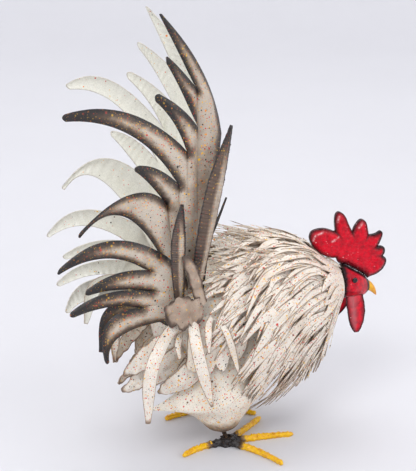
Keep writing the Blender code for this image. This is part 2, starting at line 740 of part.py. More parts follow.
def cape_point(cape, place, angle, tip_place):
    """A point of a cape: off the shell by the cape's own lift, and hanging free below the breast."""
    share = (cape["root"] - place) / (cape["root"] - cape["tip"])
    angle += CAPE_SWEEP * share * share * math.sin(angle)
    free = min(max((cape["slit"] - place) / (cape["slit"] - tip_place), 0.0), 1.0)
    low, high = cape["off"]
    point = skin(place, angle, (low + (high - low) * share) * PART)
    point.z -= CAPE_HANG * PART * free**1.5 * max(0.0, -math.cos(angle))
    return point


def make_cape(number, cape, scatter):
    """A hackle cape: a collar round the neck, slit into strips that lie back over the body."""
    reach = math.radians(cape["reach"])
    step = 2 * reach / cape["strips"]
    rims = []
    leaves = []
    middle_place = (cape["root"] + cape["slit"]) / 2
    for i in range(cape["strips"] + 1):
        angle = i * step - reach
        rims.append((
            cape_point(cape, cape["root"], angle, cape["tip"]),
            cape_point(cape, middle_place, angle, cape["tip"]),
            cape_point(cape, cape["slit"], angle, cape["tip"]),
            CAPE_SLIT_ROW,
        ))
    for i in range(cape["strips"]):
        angle = (i + 0.5) * step - reach
        low = (1 - math.cos(angle)) / 2
        tip_place = cape["tip"] + (cape["low_tip"] - cape["tip"]) * low
        tip_place += scatter.uniform(-1, 1) * CAPE_TIP_SCATTER
        half = CAPE_LEAF_SHARE * step
        middle = (cape["slit"] + tip_place) / 2
        leaves.append((
            cape_point(cape, tip_place, angle, tip_place),
            cape_point(cape, middle, angle - half, tip_place),
            cape_point(cape, middle, angle + half, tip_place),
            CAPE_TIP_RADIUS * PART,
        ))
    core = Vector((0, 0, sum(along(BODY, cape["slit"])[:2]) / 2 * PART))

    def outward(point):
        return (Vector((0, point.y, point.z)) - core).normalized()

    sheet = slit_sheet(rims, leaves, CAPE_ROWS, 1, 0.0, outward)
    walled(f"hackle_cape_{number}", sheet, outward, LEFT, SHEET_WALL, "white_paint")


def fan_points(rims, leaves):
    """Rims and leaves of a side sheet in metres, with their roots seated on the body."""
    placed = [(seat(*root), in_metres(waist), in_metres(slit), row) for root, waist, slit, row in rims]
    cut_out = [(in_metres(tip), in_metres(front), in_metres(rear), radius * PART)
               for tip, front, rear, radius in leaves]
    return placed, cut_out


def make_tail(label, side):
    """The tail's two fans on one side."""
    for name, rims, leaves in (("tail_upper", UPPER_RIMS, UPPER_LEAVES), ("tail_lower", LOWER_RIMS, LOWER_LEAVES)):
        placed, cut_out = fan_points(rims, leaves[side])
        sheet = slit_sheet(placed, cut_out, FAN_ROWS, 2, FAN_CROWN, sideways)
        walled(f"{label}_{name}", sheet, sideways, side, SHEET_WALL, "brown_edged_paint")


def make_wing(label, side):
    """The scalloped sheet on one flank."""
    placed, cut_out = fan_points(WING_RIMS, WING_LEAVES)
    sheet = slit_sheet(placed, cut_out, WING_ROWS, 2, WING_CROWN, sideways)
    walled(f"{label}_wing_sheet", sheet, sideways, side, SHEET_WALL, "white_paint")


def make_feathers(label, side):
    """The loose long feathers of one side."""
    for name, (stops, widths, crown, facing, rows) in FEATHERS.items():
        line = [seat(*stops[0])] + [in_metres(stop) for stop in stops[1:]]
        out, up, ahead = facing
        sheet = strip_sheet(line, widths, crown, Vector((ahead, out, up)).normalized(), rows, 2)
        material = "white_paint"
        if name in BROWN_FEATHERS:
            material = "brown_edged_paint"
        if name in BARE_FEATHERS:
            material = "bare_brown_metal"
        walled(f"{label}_{name}", sheet, sideways, side, SHEET_WALL, material)


def centre_model():
    """Moves the whole bird so that its box stands on the origin."""
    graph = bpy.context.evaluated_depsgraph_get()
    corners = []
    for piece in bird.objects:
        if piece.type == "MESH":
            corners += [piece.matrix_world @ vert.co for vert in piece.evaluated_get(graph).data.vertices]
    low = [min(corner[k] for corner in corners) for k in range(3)]
    high = [max(corner[k] for corner in corners) for k in range(3)]
    stand.location = (-(low[0] + high[0]) / 2, -(low[1] + high[1]) / 2, -low[2])


for old in list(bpy.data.objects):
    bpy.data.objects.remove(old)
bird = bpy.data.collections.new("rooster")
cutters = bpy.data.collections.new("rooster_cutters")
for group in (bird, cutters):
    bpy.context.scene.collection.children.link(group)
stand = bpy.data.objects.new("rooster_stand", None)
bird.objects.link(stand)

make_body()
make_head()
make_comb()
make_wattles()
make_thighs()
make_feet()
cape_scatter = random.Random(SEED)
for cape_number, cape_shape in enumerate(CAPES, 1):
    make_cape(cape_number, cape_shape, cape_scatter)
for side_label, side_sign in SIDES:
    make_tail(side_label, side_sign)
    make_wing(side_label, side_sign)
    make_feathers(side_label, side_sign)
centre_model()
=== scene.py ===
"""The looks of a rooster cut and welded from painted scrap sheet and rod.

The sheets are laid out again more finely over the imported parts, with sprayed edges and flicked specks of
paint. Sizes are in millimetres in the bird's own frame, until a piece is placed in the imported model.
"""

from __future__ import annotations

import logging
import math
import random
from bisect import bisect_right
from collections.abc import Callable, Sequence
from dataclasses import dataclass, field
from enum import Enum
from functools import wraps

import bmesh
import bpy
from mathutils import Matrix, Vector, noise

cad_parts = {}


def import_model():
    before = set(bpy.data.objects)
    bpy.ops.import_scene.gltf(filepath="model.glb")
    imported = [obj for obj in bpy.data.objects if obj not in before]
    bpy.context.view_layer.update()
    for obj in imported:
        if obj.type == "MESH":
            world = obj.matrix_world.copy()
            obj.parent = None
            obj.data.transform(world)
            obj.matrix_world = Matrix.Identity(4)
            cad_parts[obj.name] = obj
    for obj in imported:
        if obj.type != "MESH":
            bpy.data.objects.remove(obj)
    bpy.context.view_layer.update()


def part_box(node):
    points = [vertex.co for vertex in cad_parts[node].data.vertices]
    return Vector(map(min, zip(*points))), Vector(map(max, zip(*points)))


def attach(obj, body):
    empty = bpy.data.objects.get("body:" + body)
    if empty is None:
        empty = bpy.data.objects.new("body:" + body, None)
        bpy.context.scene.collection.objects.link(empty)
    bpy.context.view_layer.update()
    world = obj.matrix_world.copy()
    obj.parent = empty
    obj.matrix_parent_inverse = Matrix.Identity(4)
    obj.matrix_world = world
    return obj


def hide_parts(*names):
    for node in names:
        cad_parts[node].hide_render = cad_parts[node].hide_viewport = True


log = logging.getLogger("rooster")

Row = tuple[float, ...]
Colour = tuple[float, float, float, float]
Way = Callable[[Vector], Vector]
Values = dict[str, float]
Tree = bpy.types.NodeTree
Node = bpy.types.Node
Socket = bpy.types.NodeSocket
Mesh = bpy.types.Mesh
Piece = bpy.types.Object
Shape = bmesh.types.BMesh

MILLIMETRE = 0.001
SHEET_WALL = 1.2
STRIP_WALL = 0.7
WATTLE_WALL = 3.0
FIT_GAP = 0.4
LAYER_GAP = 0.9
FAR_FROM_EDGE = 20.0
MERGE_DISTANCE = 0.002
SHARP_ANGLE = math.radians(48)
DENT_SPREAD = 14.0
LUMP_SPREAD = 3.2


class Side(Enum):
    """The bird's own sides, each with its sign along Y."""

    RIGHT = -1
    LEFT = 1

    @property
    def label(self) -> str:
        """The side's name as the nodes write it."""
        return self.name.lower()


def along(stations: Sequence[Row], place: float) -> list[float]:
    """Reads a smooth curve through stations.

    Args:
        stations: Rows that start with their place, in rising order.
        place: Where to read the curve.

    Returns:
        The values at that place.
    """
    places = [row[0] for row in stations]
    last = len(places) - 1
    i = min(max(bisect_right(places, place) - 1, 0), last - 1)
    before, start, end, after = (stations[min(max(k, 0), last)] for k in (i - 1, i, i + 1, i + 2))
    span = end[0] - start[0]
    t = (place - start[0]) / span
    values = []
    for a, b, c, d in zip(before[1:], start[1:], end[1:], after[1:]):
        leaving = (c - a) / max(end[0] - before[0], span) * span
        arriving = (d - b) / max(after[0] - start[0], span) * span
        values.append(
            (2 * t**3 - 3 * t**2 + 1) * b
            + (t**3 - 2 * t**2 + t) * leaving
            + (3 * t**2 - 2 * t**3) * c
            + (t**3 - t**2) * arriving
        )
    return values


def bow(start: Vector, middle: Vector, end: Vector, share: float) -> Vector:
    """A point on the arc that leaves start, passes middle at its half and reaches end."""
    pull = 2 * middle - 0.5 * (start + end)
    rest = 1 - share
    return rest * rest * start + 2 * share * rest * pull + share * share * end


def through(stops: Sequence[Vector], share: float) -> Vector:
    """A point on a smooth curve through the stops, by its share of their chords."""
    reach = [0.0]
    for a, b in zip(stops, stops[1:]):
        reach.append(reach[-1] + (b - a).length)
    rows = [(d / reach[-1], *p) for d, p in zip(reach, stops)]
    return Vector(along(rows, share))


def soft_step(low: float, high: float, value: float) -> float:
    """A soft step from 0 at low to 1 at high."""
    t = min(max((value - low) / (high - low), 0.0), 1.0)
    return t * t * (3 - 2 * t)


def hill(distance: float, width: float) -> float:
    """A round hill of height 1 that has fallen to about a third at its width."""
    return math.exp(-((distance / width) ** 2))


def off_segment(point: Vector, start: Vector, end: Vector) -> tuple[float, float]:
    """How far a point is from a straight line between two others.

    Args:
        point: The point.
        start: The line's start.
        end: The line's end.

    Returns:
        The distance, and the share of the line at which it is nearest.
    """
    run = end - start
    share = min(max((point - start).dot(run) / run.length_squared, 0.0), 1.0)
    return (point - start - run * share).length, share


def sideways(_point: Vector) -> Vector:
    """The way out from the bird's middle, on the +Y side."""
    return Vector((0, 1, 0))


@dataclass
class BirdForm:
    """The body and the head that the sheets lie on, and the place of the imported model."""

    body: tuple[Row, ...] = (
        (-82, 200, 146, 15),
        (-77, 212, 128, 27),
        (-66, 223, 104, 41),
        (-48, 230, 82, 56),
        (-28, 231, 71, 66),
        (0, 232, 66, 74),
        (30, 243, 66, 77),
        (60, 246, 71, 73),
        (90, 243, 82, 62),
        (117, 230, 98, 49),
        (138, 212, 121, 35),
        (153, 202, 150, 24),
        (164, 196, 174, 14),
    )
    head: tuple[Row, ...] = (
        (165.4, 205, 169, 14),
        (167, 209.5, 165, 16.5),
        (173, 208.5, 163, 18.5),
        (181, 203.5, 162.5, 19),
        (190, 198, 163, 17.5),
        (198, 192.5, 165.5, 13.5),
        (203, 187, 169, 9),
    )
    eye_place: float = 179
    eye_up: float = 193
    shift: Vector = field(default_factory=Vector)

    def find_place(self) -> None:
        """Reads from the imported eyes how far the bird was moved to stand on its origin."""
        corners = [Vector(corner) for node in ("right_eye", "left_eye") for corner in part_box(node)]
        middle = sum(corners, Vector()) / len(corners)
        self.shift = middle - Vector((self.eye_place, 0, self.eye_up)) * MILLIMETRE

    def placed(self, point: Vector) -> Vector:
        """A point of the form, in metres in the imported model."""
        return point * MILLIMETRE + self.shift

    def skin(self, place: float, angle: float, off: float = 0.0) -> Vector:
        """A point off the body shell. Angle 0 is the back, and it turns down the +Y side."""
        top, bottom, half = along(self.body, place)
        high = (top - bottom) / 2 + off
        wide = half + off
        return Vector((place, wide * math.sin(angle), (top + bottom) / 2 + high * math.cos(angle)))

    def seat(self, place: float, up: float, layer: float) -> Vector:
        """The root of a feather on the body, with room for that many sheets below it."""
        top, bottom, _ = along(self.body, place)
        share = (2 * up - top - bottom) / (top - bottom)
        root = self.skin(place, math.acos(min(max(share, -1.0), 1.0)), FIT_GAP + LAYER_GAP)
        root.y += layer * (SHEET_WALL + LAYER_GAP)
        return root


class Net:
    """A node tree being wired."""

    def __init__(self, tree: Tree) -> None:
        """Takes the tree to wire."""
        self.tree = tree

    def add(self, kind: str, inputs: dict | None = None, **settings: object) -> Node:
        """Adds a node.

        Args:
            kind: The node's type name.
            inputs: Values or sockets by input name or index.
            **settings: Properties of the node itself.

        Returns:
            The new node.
        """
        made = self.tree.nodes.new(kind)
        for name, value in settings.items():
            setattr(made, name, value)
        for key, value in (inputs or {}).items():
            if isinstance(value, Socket):
                self.tree.links.new(value, made.inputs[key])
            else:
                made.inputs[key].default_value = value
        return made

    def join(self, start: Socket, end: Socket) -> None:
        """Links an output to an input."""
        self.tree.links.new(start, end)

    def vector(self, operation: str, a: object, b: object) -> Socket:
        """The output of a Vector Math node."""
        return self.add("ShaderNodeVectorMath", {0: a, 1: b}, operation=operation).outputs[0]

    def chance(self, low: object, high: object, seed: object) -> Socket:
        """A random vector between two others."""
        inputs = {0: low, 1: high, "Seed": seed}
        return self.add("FunctionNodeRandomValue", inputs, data_type="FLOAT_VECTOR").outputs[0]

    def sum(self, operation: str, a: object, b: object = 0.5, clamp: bool = False) -> Socket:
        """The output of a Math node."""
        return self.add("ShaderNodeMath", {0: a, 1: b}, operation=operation, use_clamp=clamp).outputs[0]

    def mix(self, factor: object, a: object, b: object) -> Socket:
        """The output of a Mix node for colours."""
        return self.add("ShaderNodeMix", {0: factor, 6: a, 7: b}, data_type="RGBA").outputs[2]

    def span(self, value: object, low: object, high: object, start: float = 0,
             end: float = 1) -> Socket:
        """The output of a soft Map Range node."""
        inputs = {"Value": value, "From Min": low, "From Max": high, "To Min": start, "To Max": end}
        return self.add("ShaderNodeMapRange", inputs, interpolation_type="SMOOTHSTEP").outputs[0]

    def ramp(self, factor: object, stops: Sequence[tuple[float, Colour]],
             steps: bool = False) -> Socket:
        """The output of a Color Ramp node with those stops."""
        made = self.add("ShaderNodeValToRGB", {0: factor})
        band = made.color_ramp
        band.interpolation = "CONSTANT" if steps else "LINEAR"
        while len(band.elements) < len(stops):
            band.elements.new(1.0)
        for element, (place, colour) in zip(band.elements, stops):
            element.position = place
            element.color = colour
        return made.outputs[0]

    def carried(self, name: str) -> Socket:
        """The value that the surface carries under that name."""
        return self.add("ShaderNodeAttribute", attribute_name=name).outputs["Fac"]

    def cloud(self, place: object, scale: float, detail: float = 3.0,
              rough: float = 0.6) -> Socket:
        """A soft noise over the surface."""
        inputs = {"Vector": place, "Scale": scale, "Detail": detail, "Roughness": rough}
        return self.add("ShaderNodeTexNoise", inputs).outputs[0]

    def group(self, tree: Tree, **inputs: object) -> Node:
        """A group node, its inputs given by their names with spaces as low lines."""
        made = self.add("ShaderNodeGroup", node_tree=tree)
        for name, value in inputs.items():
            socket = made.inputs[name.replace("_", " ")]
            if isinstance(value, Socket):
                self.join(value, socket)
            else:
                socket.default_value = value
        return made

    def emboss(self, shader: Node, height: object, strength: float, distance: float) -> None:
        """Lets a height stand out of the shader's surface."""
        bump = self.add("ShaderNodeBump", {"Strength": strength, "Distance": distance, "Height": height})
        self.join(bump.outputs[0], shader.inputs["Normal"])


def made_once(make: Callable[[type], Tree]) -> Callable[[type], Tree]:
    """Lets a tree be made on its first use, and found by its maker's name after that."""

    @wraps(make)
    def find(cls: type) -> Tree:
        """The tree, found or made."""
        return bpy.data.node_groups.get(make.__name__) or make(cls)

    return find


SPECK_COLOURS = (
    (0.0, (0.62, 0.030, 0.015, 1)),
    (0.27, (0.86, 0.29, 0.02, 1)),
    (0.48, (0.86, 0.50, 0.02, 1)),
    (0.76, (0.16, 0.075, 0.035, 1)),
    (0.87, (0.012, 0.010, 0.010, 1)),
)


class Groups:
    """The shader groups that more than one finish uses."""

    BLUR_SCALE = 900.0
    BLUR_REACH = (0.0012, 0.0012, 0.0012)
    GRAIN_SPREAD = 0.8
    LEAST_GRAIN = 0.3
    SPECK_CORE = 0.7
    EDGE_DRIFT = 0.6
    SHORTEST_TIP = 0.001
    HAMMER_SOFTNESS = 0.6
    PIT_SCALE = 1400.0

    @staticmethod
    def _start(name: str, inputs: dict[str, str],
               outputs: dict[str, str]) -> tuple[Net, Node, Node]:
        """An empty group with its sockets, given as names and kinds."""
        tree = bpy.data.node_groups.new(name, "ShaderNodeTree")
        for label, kind in inputs.items():
            tree.interface.new_socket(label, in_out="INPUT", socket_type=kind)
        for label, kind in outputs.items():
            tree.interface.new_socket(label, in_out="OUTPUT", socket_type=kind)
        net = Net(tree)
        return net, net.add("NodeGroupInput"), net.add("NodeGroupOutput")

    @classmethod
    @made_once
    def flicked_specks(cls) -> Tree:
        """Specks of red, orange, yellow and black paint, as a mask and a colour."""
        net, given, out = cls._start(
            "flicked_specks",
            {"Place": "NodeSocketVector", "Scale": "NodeSocketFloat", "Size": "NodeSocketFloat",
             "Kept": "NodeSocketFloat"},
            {"Mask": "NodeSocketFloat", "Colour": "NodeSocketColor"},
        )
        start = given.outputs["Place"]
        blur = net.add("ShaderNodeTexNoise", {"Vector": start, "Scale": cls.BLUR_SCALE, "Detail": 1.0})
        nudge = net.vector("MULTIPLY", blur.outputs["Color"], cls.BLUR_REACH)
        place = net.vector("ADD", start, nudge)
        cells = net.add("ShaderNodeTexVoronoi", {"Vector": place, "Scale": given.outputs["Scale"]})
        pick = net.add("ShaderNodeSeparateColor", {0: cells.outputs["Color"]})
        few_large = net.sum("MULTIPLY", net.sum("POWER", pick.outputs[0], 2.0), cls.GRAIN_SPREAD)
        radius = net.sum("MULTIPLY", net.sum("ADD", few_large, cls.LEAST_GRAIN), given.outputs["Size"])
        spot = net.span(cells.outputs["Distance"], radius, net.sum("MULTIPLY", radius, cls.SPECK_CORE))
        kept = net.sum("LESS_THAN", pick.outputs[2], given.outputs["Kept"])
        net.join(net.sum("MULTIPLY", spot, kept), out.inputs["Mask"])
        net.join(net.ramp(pick.outputs[1], SPECK_COLOURS, steps=True), out.inputs["Colour"])
        return net.tree

    @classmethod
    @made_once
    def sprayed_edge(cls) -> Tree:
        """The share of dark paint sprayed from a sheet's cut edges and its tip."""
        kinds = {name: "NodeSocketFloat" for name in ("Margin", "Reach", "Width", "Tip Start", "Cloud")}
        net, given, out = cls._start("sprayed_edge", kinds, {"Mask": "NodeSocketFloat"})
        drift = net.sum("MULTIPLY", net.sum("SUBTRACT", given.outputs["Cloud"], 0.5),
                        net.sum("MULTIPLY", given.outputs["Width"], cls.EDGE_DRIFT))
        edge = net.span(net.sum("ADD", given.outputs["Margin"], drift), 0.0, given.outputs["Width"], 1, 0)
        tip_end = net.sum("MAXIMUM", net.sum("ADD", given.outputs["Tip Start"], cls.SHORTEST_TIP), 1.0)
        tip = net.span(given.outputs["Reach"], given.outputs["Tip Start"], tip_end)
        clean = net.sum("MULTIPLY", net.sum("SUBTRACT", 1.0, edge), net.sum("SUBTRACT", 1.0, tip))
        net.join(net.sum("SUBTRACT", 1.0, clean), out.inputs["Mask"])
        return net.tree

    @classmethod
    @made_once
    def hammered(cls) -> Tree:
        """The height of a surface beaten with a round hammer, with finer pitting over it."""
        net, given, out = cls._start(
            "hammered",
            {"Place": "NodeSocketVector", "Scale": "NodeSocketFloat", "Pitting": "NodeSocketFloat"},
            {"Height": "NodeSocketFloat"},
        )
        cells = net.add(
            "ShaderNodeTexVoronoi",
            {
                "Vector": given.outputs["Place"],
                "Scale": given.outputs["Scale"],
                "Smoothness": cls.HAMMER_SOFTNESS,
            },
            feature="SMOOTH_F1",
        )
        pits = net.cloud(given.outputs["Place"], cls.PIT_SCALE, 2.0)
        pitting = net.sum("MULTIPLY", pits, given.outputs["Pitting"])
        net.join(net.sum("ADD", cells.outputs["Distance"], pitting), out.inputs["Height"])
        return net.tree


def start_material(name: str) -> tuple[bpy.types.Material, Net, Node, Socket]:
    """A new material, its tree, its shader and the place on the surface."""
    made = bpy.data.materials.new(name)
    made.use_nodes = True
    net = Net(made.node_tree)
    place = net.add("ShaderNodeTexCoord").outputs["Object"]
    return made, net, made.node_tree.nodes["Principled BSDF"], place


@dataclass(frozen=True)
class SprayedPaint:
    """Pale paint with dark sprayed edges and tips, dusted with brown and flicked with specks; on some sheets
    one half across is darkened as painted shade.
    """

    name: str
    pale: Colour
    tan: Colour
    brown: Colour
    dark: Colour
    edge_width: float
    tip_start: float
    speck_size: float = 1.0
    specks_kept: float = 1.0
    specks_under_spray: float = 0.72
    speck_sizes: tuple[Row, ...] = (
        (560.0, 0.44, 0.60),
        (400.0, 0.42, 0.80),
        (235.0, 0.33, 0.62),
        (120.0, 0.22, 0.42),
    )
    tone_stops: Row = (0.0, 0.30, 0.62, 0.95)
    dusting: float = 0.35
    dust_share: float = 0.42
    tone_share: float = 0.6
    rib_height: float = 0.0
    ribs: float = 40.0
    shaded_half: float = 0.0
    roughness: float = 0.42
    bump: float = 0.35
    relief: float = 0.0011
    cloud_scale: float = 160.0
    dust_scale: float = 28.0
    grain_scale: float = 700.0
    hammer_scale: float = 85.0
    pitting: float = 0.10
    coat: float = 0.12
    coat_roughness: float = 0.25

    def make(self) -> bpy.types.Material:
        """Makes the material."""
        made, net, shader, place = start_material(self.name)
        reach = net.carried("reach")
        cloud = net.cloud(place, self.cloud_scale, 4.0)
        edge = net.group(Groups.sprayed_edge(), Margin=net.carried("margin"), Reach=reach, Cloud=cloud,
                         Width=self.edge_width, Tip_Start=self.tip_start)
        share = edge.outputs["Mask"]
        # Painted shade: one half across the sheet is darkened, as if it faced away from the light.
        if self.shaded_half:
            across = net.span(net.carried("across"), -0.15, 0.25)
            share = net.sum("MAXIMUM", share, net.sum("MULTIPLY", across, self.shaded_half))
        dust = net.sum("MULTIPLY", net.span(net.cloud(place, self.dust_scale), 0.42, 0.75), self.dusting)
        lot = net.sum("SUBTRACT", net.carried("tone"), 0.5)
        lot = net.sum("MULTIPLY", lot, self.dusting * self.tone_share)
        dust = net.sum("MULTIPLY", net.sum("ADD", dust, lot, clamp=True), self.dust_share)
        whole = net.sum("ADD", share, dust, clamp=True)
        tones = zip(self.tone_stops, (self.pale, self.tan, self.brown, self.dark))
        colour = net.ramp(whole, tuple(tones))
        grain = net.span(net.cloud(place, self.grain_scale, 2.0), 0.3, 0.7, 0.90, 1.06)
        colour = net.add("ShaderNodeHueSaturation", {"Value": grain, "Color": colour}).outputs[0]
        bare = net.sum("SUBTRACT", 1.0, net.sum("MULTIPLY", share, self.specks_under_spray))
        for scale, size, kept in self.speck_sizes:
            specks = net.group(Groups.flicked_specks(), Place=place, Scale=scale, Size=size * self.speck_size,
                               Kept=kept * self.specks_kept)
            mask = net.sum("MULTIPLY", specks.outputs["Mask"], bare)
            colour = net.mix(mask, colour, specks.outputs["Colour"])
        net.join(colour, shader.inputs["Base Color"])
        gloss = net.span(cloud, 0.3, 0.7, self.roughness - 0.08, self.roughness + 0.14)
        net.join(gloss, shader.inputs["Roughness"])
        beaten = net.group(Groups.hammered(), Place=place, Scale=self.hammer_scale, Pitting=self.pitting)
        height = beaten.outputs["Height"]
        if self.rib_height:
            wave = net.sum("SINE", net.sum("MULTIPLY", reach, self.ribs * 2 * math.pi))
            height = net.sum("ADD", height, net.sum("MULTIPLY", wave, self.rib_height))
        net.emboss(shader, height, self.bump, self.relief)
        shader.inputs["Coat Weight"].default_value = self.coat
        shader.inputs["Coat Roughness"].default_value = self.coat_roughness
        return made


@dataclass(frozen=True)
class RedEnamel:
    """Thick red enamel over hammered metal, black where the spray and dirt gather and where shade is painted
    in, pale where it is worn and where sheen and glints are painted on.
    """

    name: str
    red: Colour
    deep: Colour
    sheen_and_wear: Colour
    black_edge: float
    streaks: float = 0.3
    hammer_scale: float = 330.0
    bump: float = 0.6
    roughness: float = 0.2
    # Painted highlights: pale specks stand in for glints off the hammered enamel (how many, colour, scale,
    # size, strength).
    glint_specks: float = 0.03
    glint_colour: Colour = (0.90, 0.62, 0.63, 1)
    black: Colour = (0.016, 0.004, 0.006, 1)
    glint_speck_scale: float = 430.0
    glint_speck_size: float = 0.30
    glint_speck_share: float = 0.75
    # How strongly the carried pale value paints a sheen on.
    pale_share: float = 0.8
    cloud_scale: float = 150.0
    streak_scale: float = 260.0
    streak_shape: Row = (1.0, 1.0, 0.22)
    pitting: float = 0.25
    relief: float = 0.0009
    specular: float = 0.2
    coat: float = 0.08
    coat_roughness: float = 0.08

    def make(self) -> bpy.types.Material:
        """Makes the material."""
        made, net, shader, place = start_material(self.name)
        cloud = net.cloud(place, self.cloud_scale, 4.0)
        # The black follows the carried margin, which on the comb also paints shade into the folds and over
        # the front lobes.
        edge = net.group(Groups.sprayed_edge(), Margin=net.carried("margin"), Cloud=cloud,
                         Width=self.black_edge, Tip_Start=2.0)
        red = net.mix(net.span(cloud, 0.35, 0.68), self.red, self.deep)
        tall = net.add("ShaderNodeMapping", {"Vector": place, "Scale": self.streak_shape}).outputs[0]
        streak = net.span(net.cloud(tall, self.streak_scale), 0.48, 0.70, 0, self.streaks)
        # Painted sheen from the carried pale value, together with streaks of wear, lightens the red.
        sheen_and_wear = net.sum("ADD", net.sum("MULTIPLY", net.carried("pale"), self.pale_share), streak, clamp=True)
        red = net.mix(sheen_and_wear, red, self.sheen_and_wear)
        colour = net.mix(edge.outputs["Mask"], red, self.black)
        # Painted highlights: pale specks stand in for glints.
        glint_specks = net.group(Groups.flicked_specks(), Place=place, Scale=self.glint_speck_scale, Size=self.glint_speck_size,
                          Kept=self.glint_specks)
        glinting = net.sum("MULTIPLY", glint_specks.outputs["Mask"], self.glint_speck_share)
        colour = net.mix(glinting, colour, self.glint_colour)
        # Painted highlight along the carried glint strokes.
        colour = net.mix(net.carried("glint"), colour, self.glint_colour)
        net.join(colour, shader.inputs["Base Color"])
        beaten = net.group(Groups.hammered(), Place=place, Scale=self.hammer_scale, Pitting=self.pitting)
        net.emboss(shader, beaten.outputs["Height"], self.bump, self.relief)
        net.join(net.span(cloud, 0.3, 0.7, self.roughness, self.roughness + 0.12), shader.inputs["Roughness"])
        shader.inputs["Specular IOR Level"].default_value = self.specular
        shader.inputs["Coat Weight"].default_value = self.coat
        shader.inputs["Coat Roughness"].default_value = self.coat_roughness
        return made


@dataclass(frozen=True)
class MottledPaint:
    """One colour broken by a second that gathers in patches, and dirt where the surface carries it."""

    name: str
    main: Colour
    second: Colour
    dirt: Colour
    stain: Colour = (0.16, 0.085, 0.03, 1)
    patch_scale: float = 240.0
    roughness: float = 0.4
    metallic: float = 0.0
    bump: float = 0.5
    grime_drift: float = 0.9
    hammer_scale: float = 420.0
    pitting: float = 0.5
    relief: float = 0.0006

    def make(self) -> bpy.types.Material:
        """Makes the material."""
        made, net, shader, place = start_material(self.name)
        patches = net.cloud(place, self.patch_scale, 4.0)
        colour = net.mix(net.span(patches, 0.45, 0.66), self.main, self.second)
        loose = net.sum("MULTIPLY", net.sum("SUBTRACT", patches, 0.5), self.grime_drift)
        grime = net.sum("ADD", net.carried("dirt"), loose)
        colour = net.mix(net.span(grime, 0.12, 0.55), colour, self.stain)
        net.join(net.mix(net.span(grime, 0.45, 0.85), colour, self.dirt), shader.inputs["Base Color"])
        rough = net.span(patches, 0.3, 0.7, self.roughness - 0.08, self.roughness + 0.15)
        net.join(rough, shader.inputs["Roughness"])
        beaten = net.group(Groups.hammered(), Place=place, Scale=self.hammer_scale, Pitting=self.pitting)
        net.emboss(shader, beaten.outputs["Height"], self.bump, self.relief)
        shader.inputs["Metallic"].default_value = self.metallic
        return made


Coat = SprayedPaint | RedEnamel | MottledPaint

TAIL_PAINT = SprayedPaint(
    "tail_paint", (0.58, 0.51, 0.42, 1), (0.30, 0.225, 0.16, 1),
    (0.092, 0.060, 0.040, 1), (0.012, 0.010, 0.010, 1),
    edge_width=13.5, tip_start=0.42, speck_size=1.05, specks_kept=0.8, dusting=0.5)
LANCE_PAINT = SprayedPaint(
    "lance_paint", (0.52, 0.44, 0.35, 1), (0.31, 0.225, 0.16, 1),
    (0.105, 0.066, 0.046, 1), (0.018, 0.013, 0.012, 1),
    edge_width=4.0, tip_start=0.66, specks_kept=0.5, dusting=0.8, rib_height=0.45, ribs=46, shaded_half=0.62,
    bump=0.6)
STRIP_PAINT = SprayedPaint(
    "strip_paint", (0.82, 0.76, 0.67, 1), (0.64, 0.53, 0.42, 1),
    (0.42, 0.31, 0.225, 1), (0.24, 0.17, 0.12, 1),
    edge_width=1.0, tip_start=0.95, dusting=0.42)
LEAF_PAINT = SprayedPaint(
    "leaf_paint", (0.82, 0.77, 0.68, 1), (0.64, 0.54, 0.43, 1),
    (0.40, 0.30, 0.22, 1), (0.20, 0.14, 0.10, 1),
    edge_width=2.2, tip_start=0.90, dusting=0.4)
BODY_PAINT = SprayedPaint(
    "body_paint", (0.83, 0.77, 0.66, 1), (0.60, 0.50, 0.38, 1),
    (0.27, 0.20, 0.13, 1), (0.10, 0.07, 0.045, 1),
    edge_width=5.0, tip_start=2.0, dusting=0.35)
INNER_PAINT = SprayedPaint(
    "inner_paint", (0.81, 0.80, 0.71, 1), (0.74, 0.72, 0.63, 1),
    (0.62, 0.58, 0.50, 1), (0.46, 0.42, 0.35, 1),
    edge_width=0.8, tip_start=0.985, specks_kept=0.10, dusting=0.2, rib_height=0.8, ribs=9,
    roughness=0.2)
RIM_PAINT = MottledPaint("rim_paint", (0.50, 0.40, 0.31, 1), (0.26, 0.19, 0.14, 1), (0.02, 0.015, 0.012, 1))
TAIL_RIM = MottledPaint("tail_rim", (0.68, 0.65, 0.58, 1), (0.52, 0.48, 0.42, 1), (0.02, 0.015, 0.012, 1))
DARK_RIM = MottledPaint("dark_rim", (0.03, 0.022, 0.017, 1), (0.08, 0.055, 0.04, 1), (0.02, 0.015, 0.012, 1))
SCRAP_PAINT = SprayedPaint(
    "scrap_paint", (0.44, 0.34, 0.26, 1), (0.34, 0.25, 0.185, 1),
    (0.20, 0.14, 0.10, 1), (0.09, 0.06, 0.045, 1),
    edge_width=3.0, tip_start=0.85, specks_kept=0.25, dusting=0.8, roughness=0.6, bump=0.6)
COMB_ENAMEL = RedEnamel(
    "comb_enamel", (0.80, 0.001, 0.020, 1), (0.42, 0.001, 0.012, 1), (0.74, 0.03, 0.06, 1), black_edge=7.0,
    streaks=0.10, bump=1.0, glint_specks=0.16)
FACE_ENAMEL = RedEnamel(
    "face_enamel", (0.74, 0.003, 0.022, 1), (0.33, 0.003, 0.014, 1), (0.46, 0.14, 0.155, 1), black_edge=5.0,
    streaks=0.18, hammer_scale=210.0, bump=0.45, roughness=0.3)
TOE_PAINT = MottledPaint(
    "toe_paint", (0.92, 0.53, 0.006, 1), (0.76, 0.33, 0.008, 1), (0.022, 0.018, 0.018, 1), roughness=0.26)
BEAK_PAINT = MottledPaint(
    "beak_paint", (0.86, 0.45, 0.02, 1), (0.75, 0.25, 0.012, 1), (0.03, 0.02, 0.015, 1), patch_scale=60.0,
    roughness=0.25, bump=0.15)
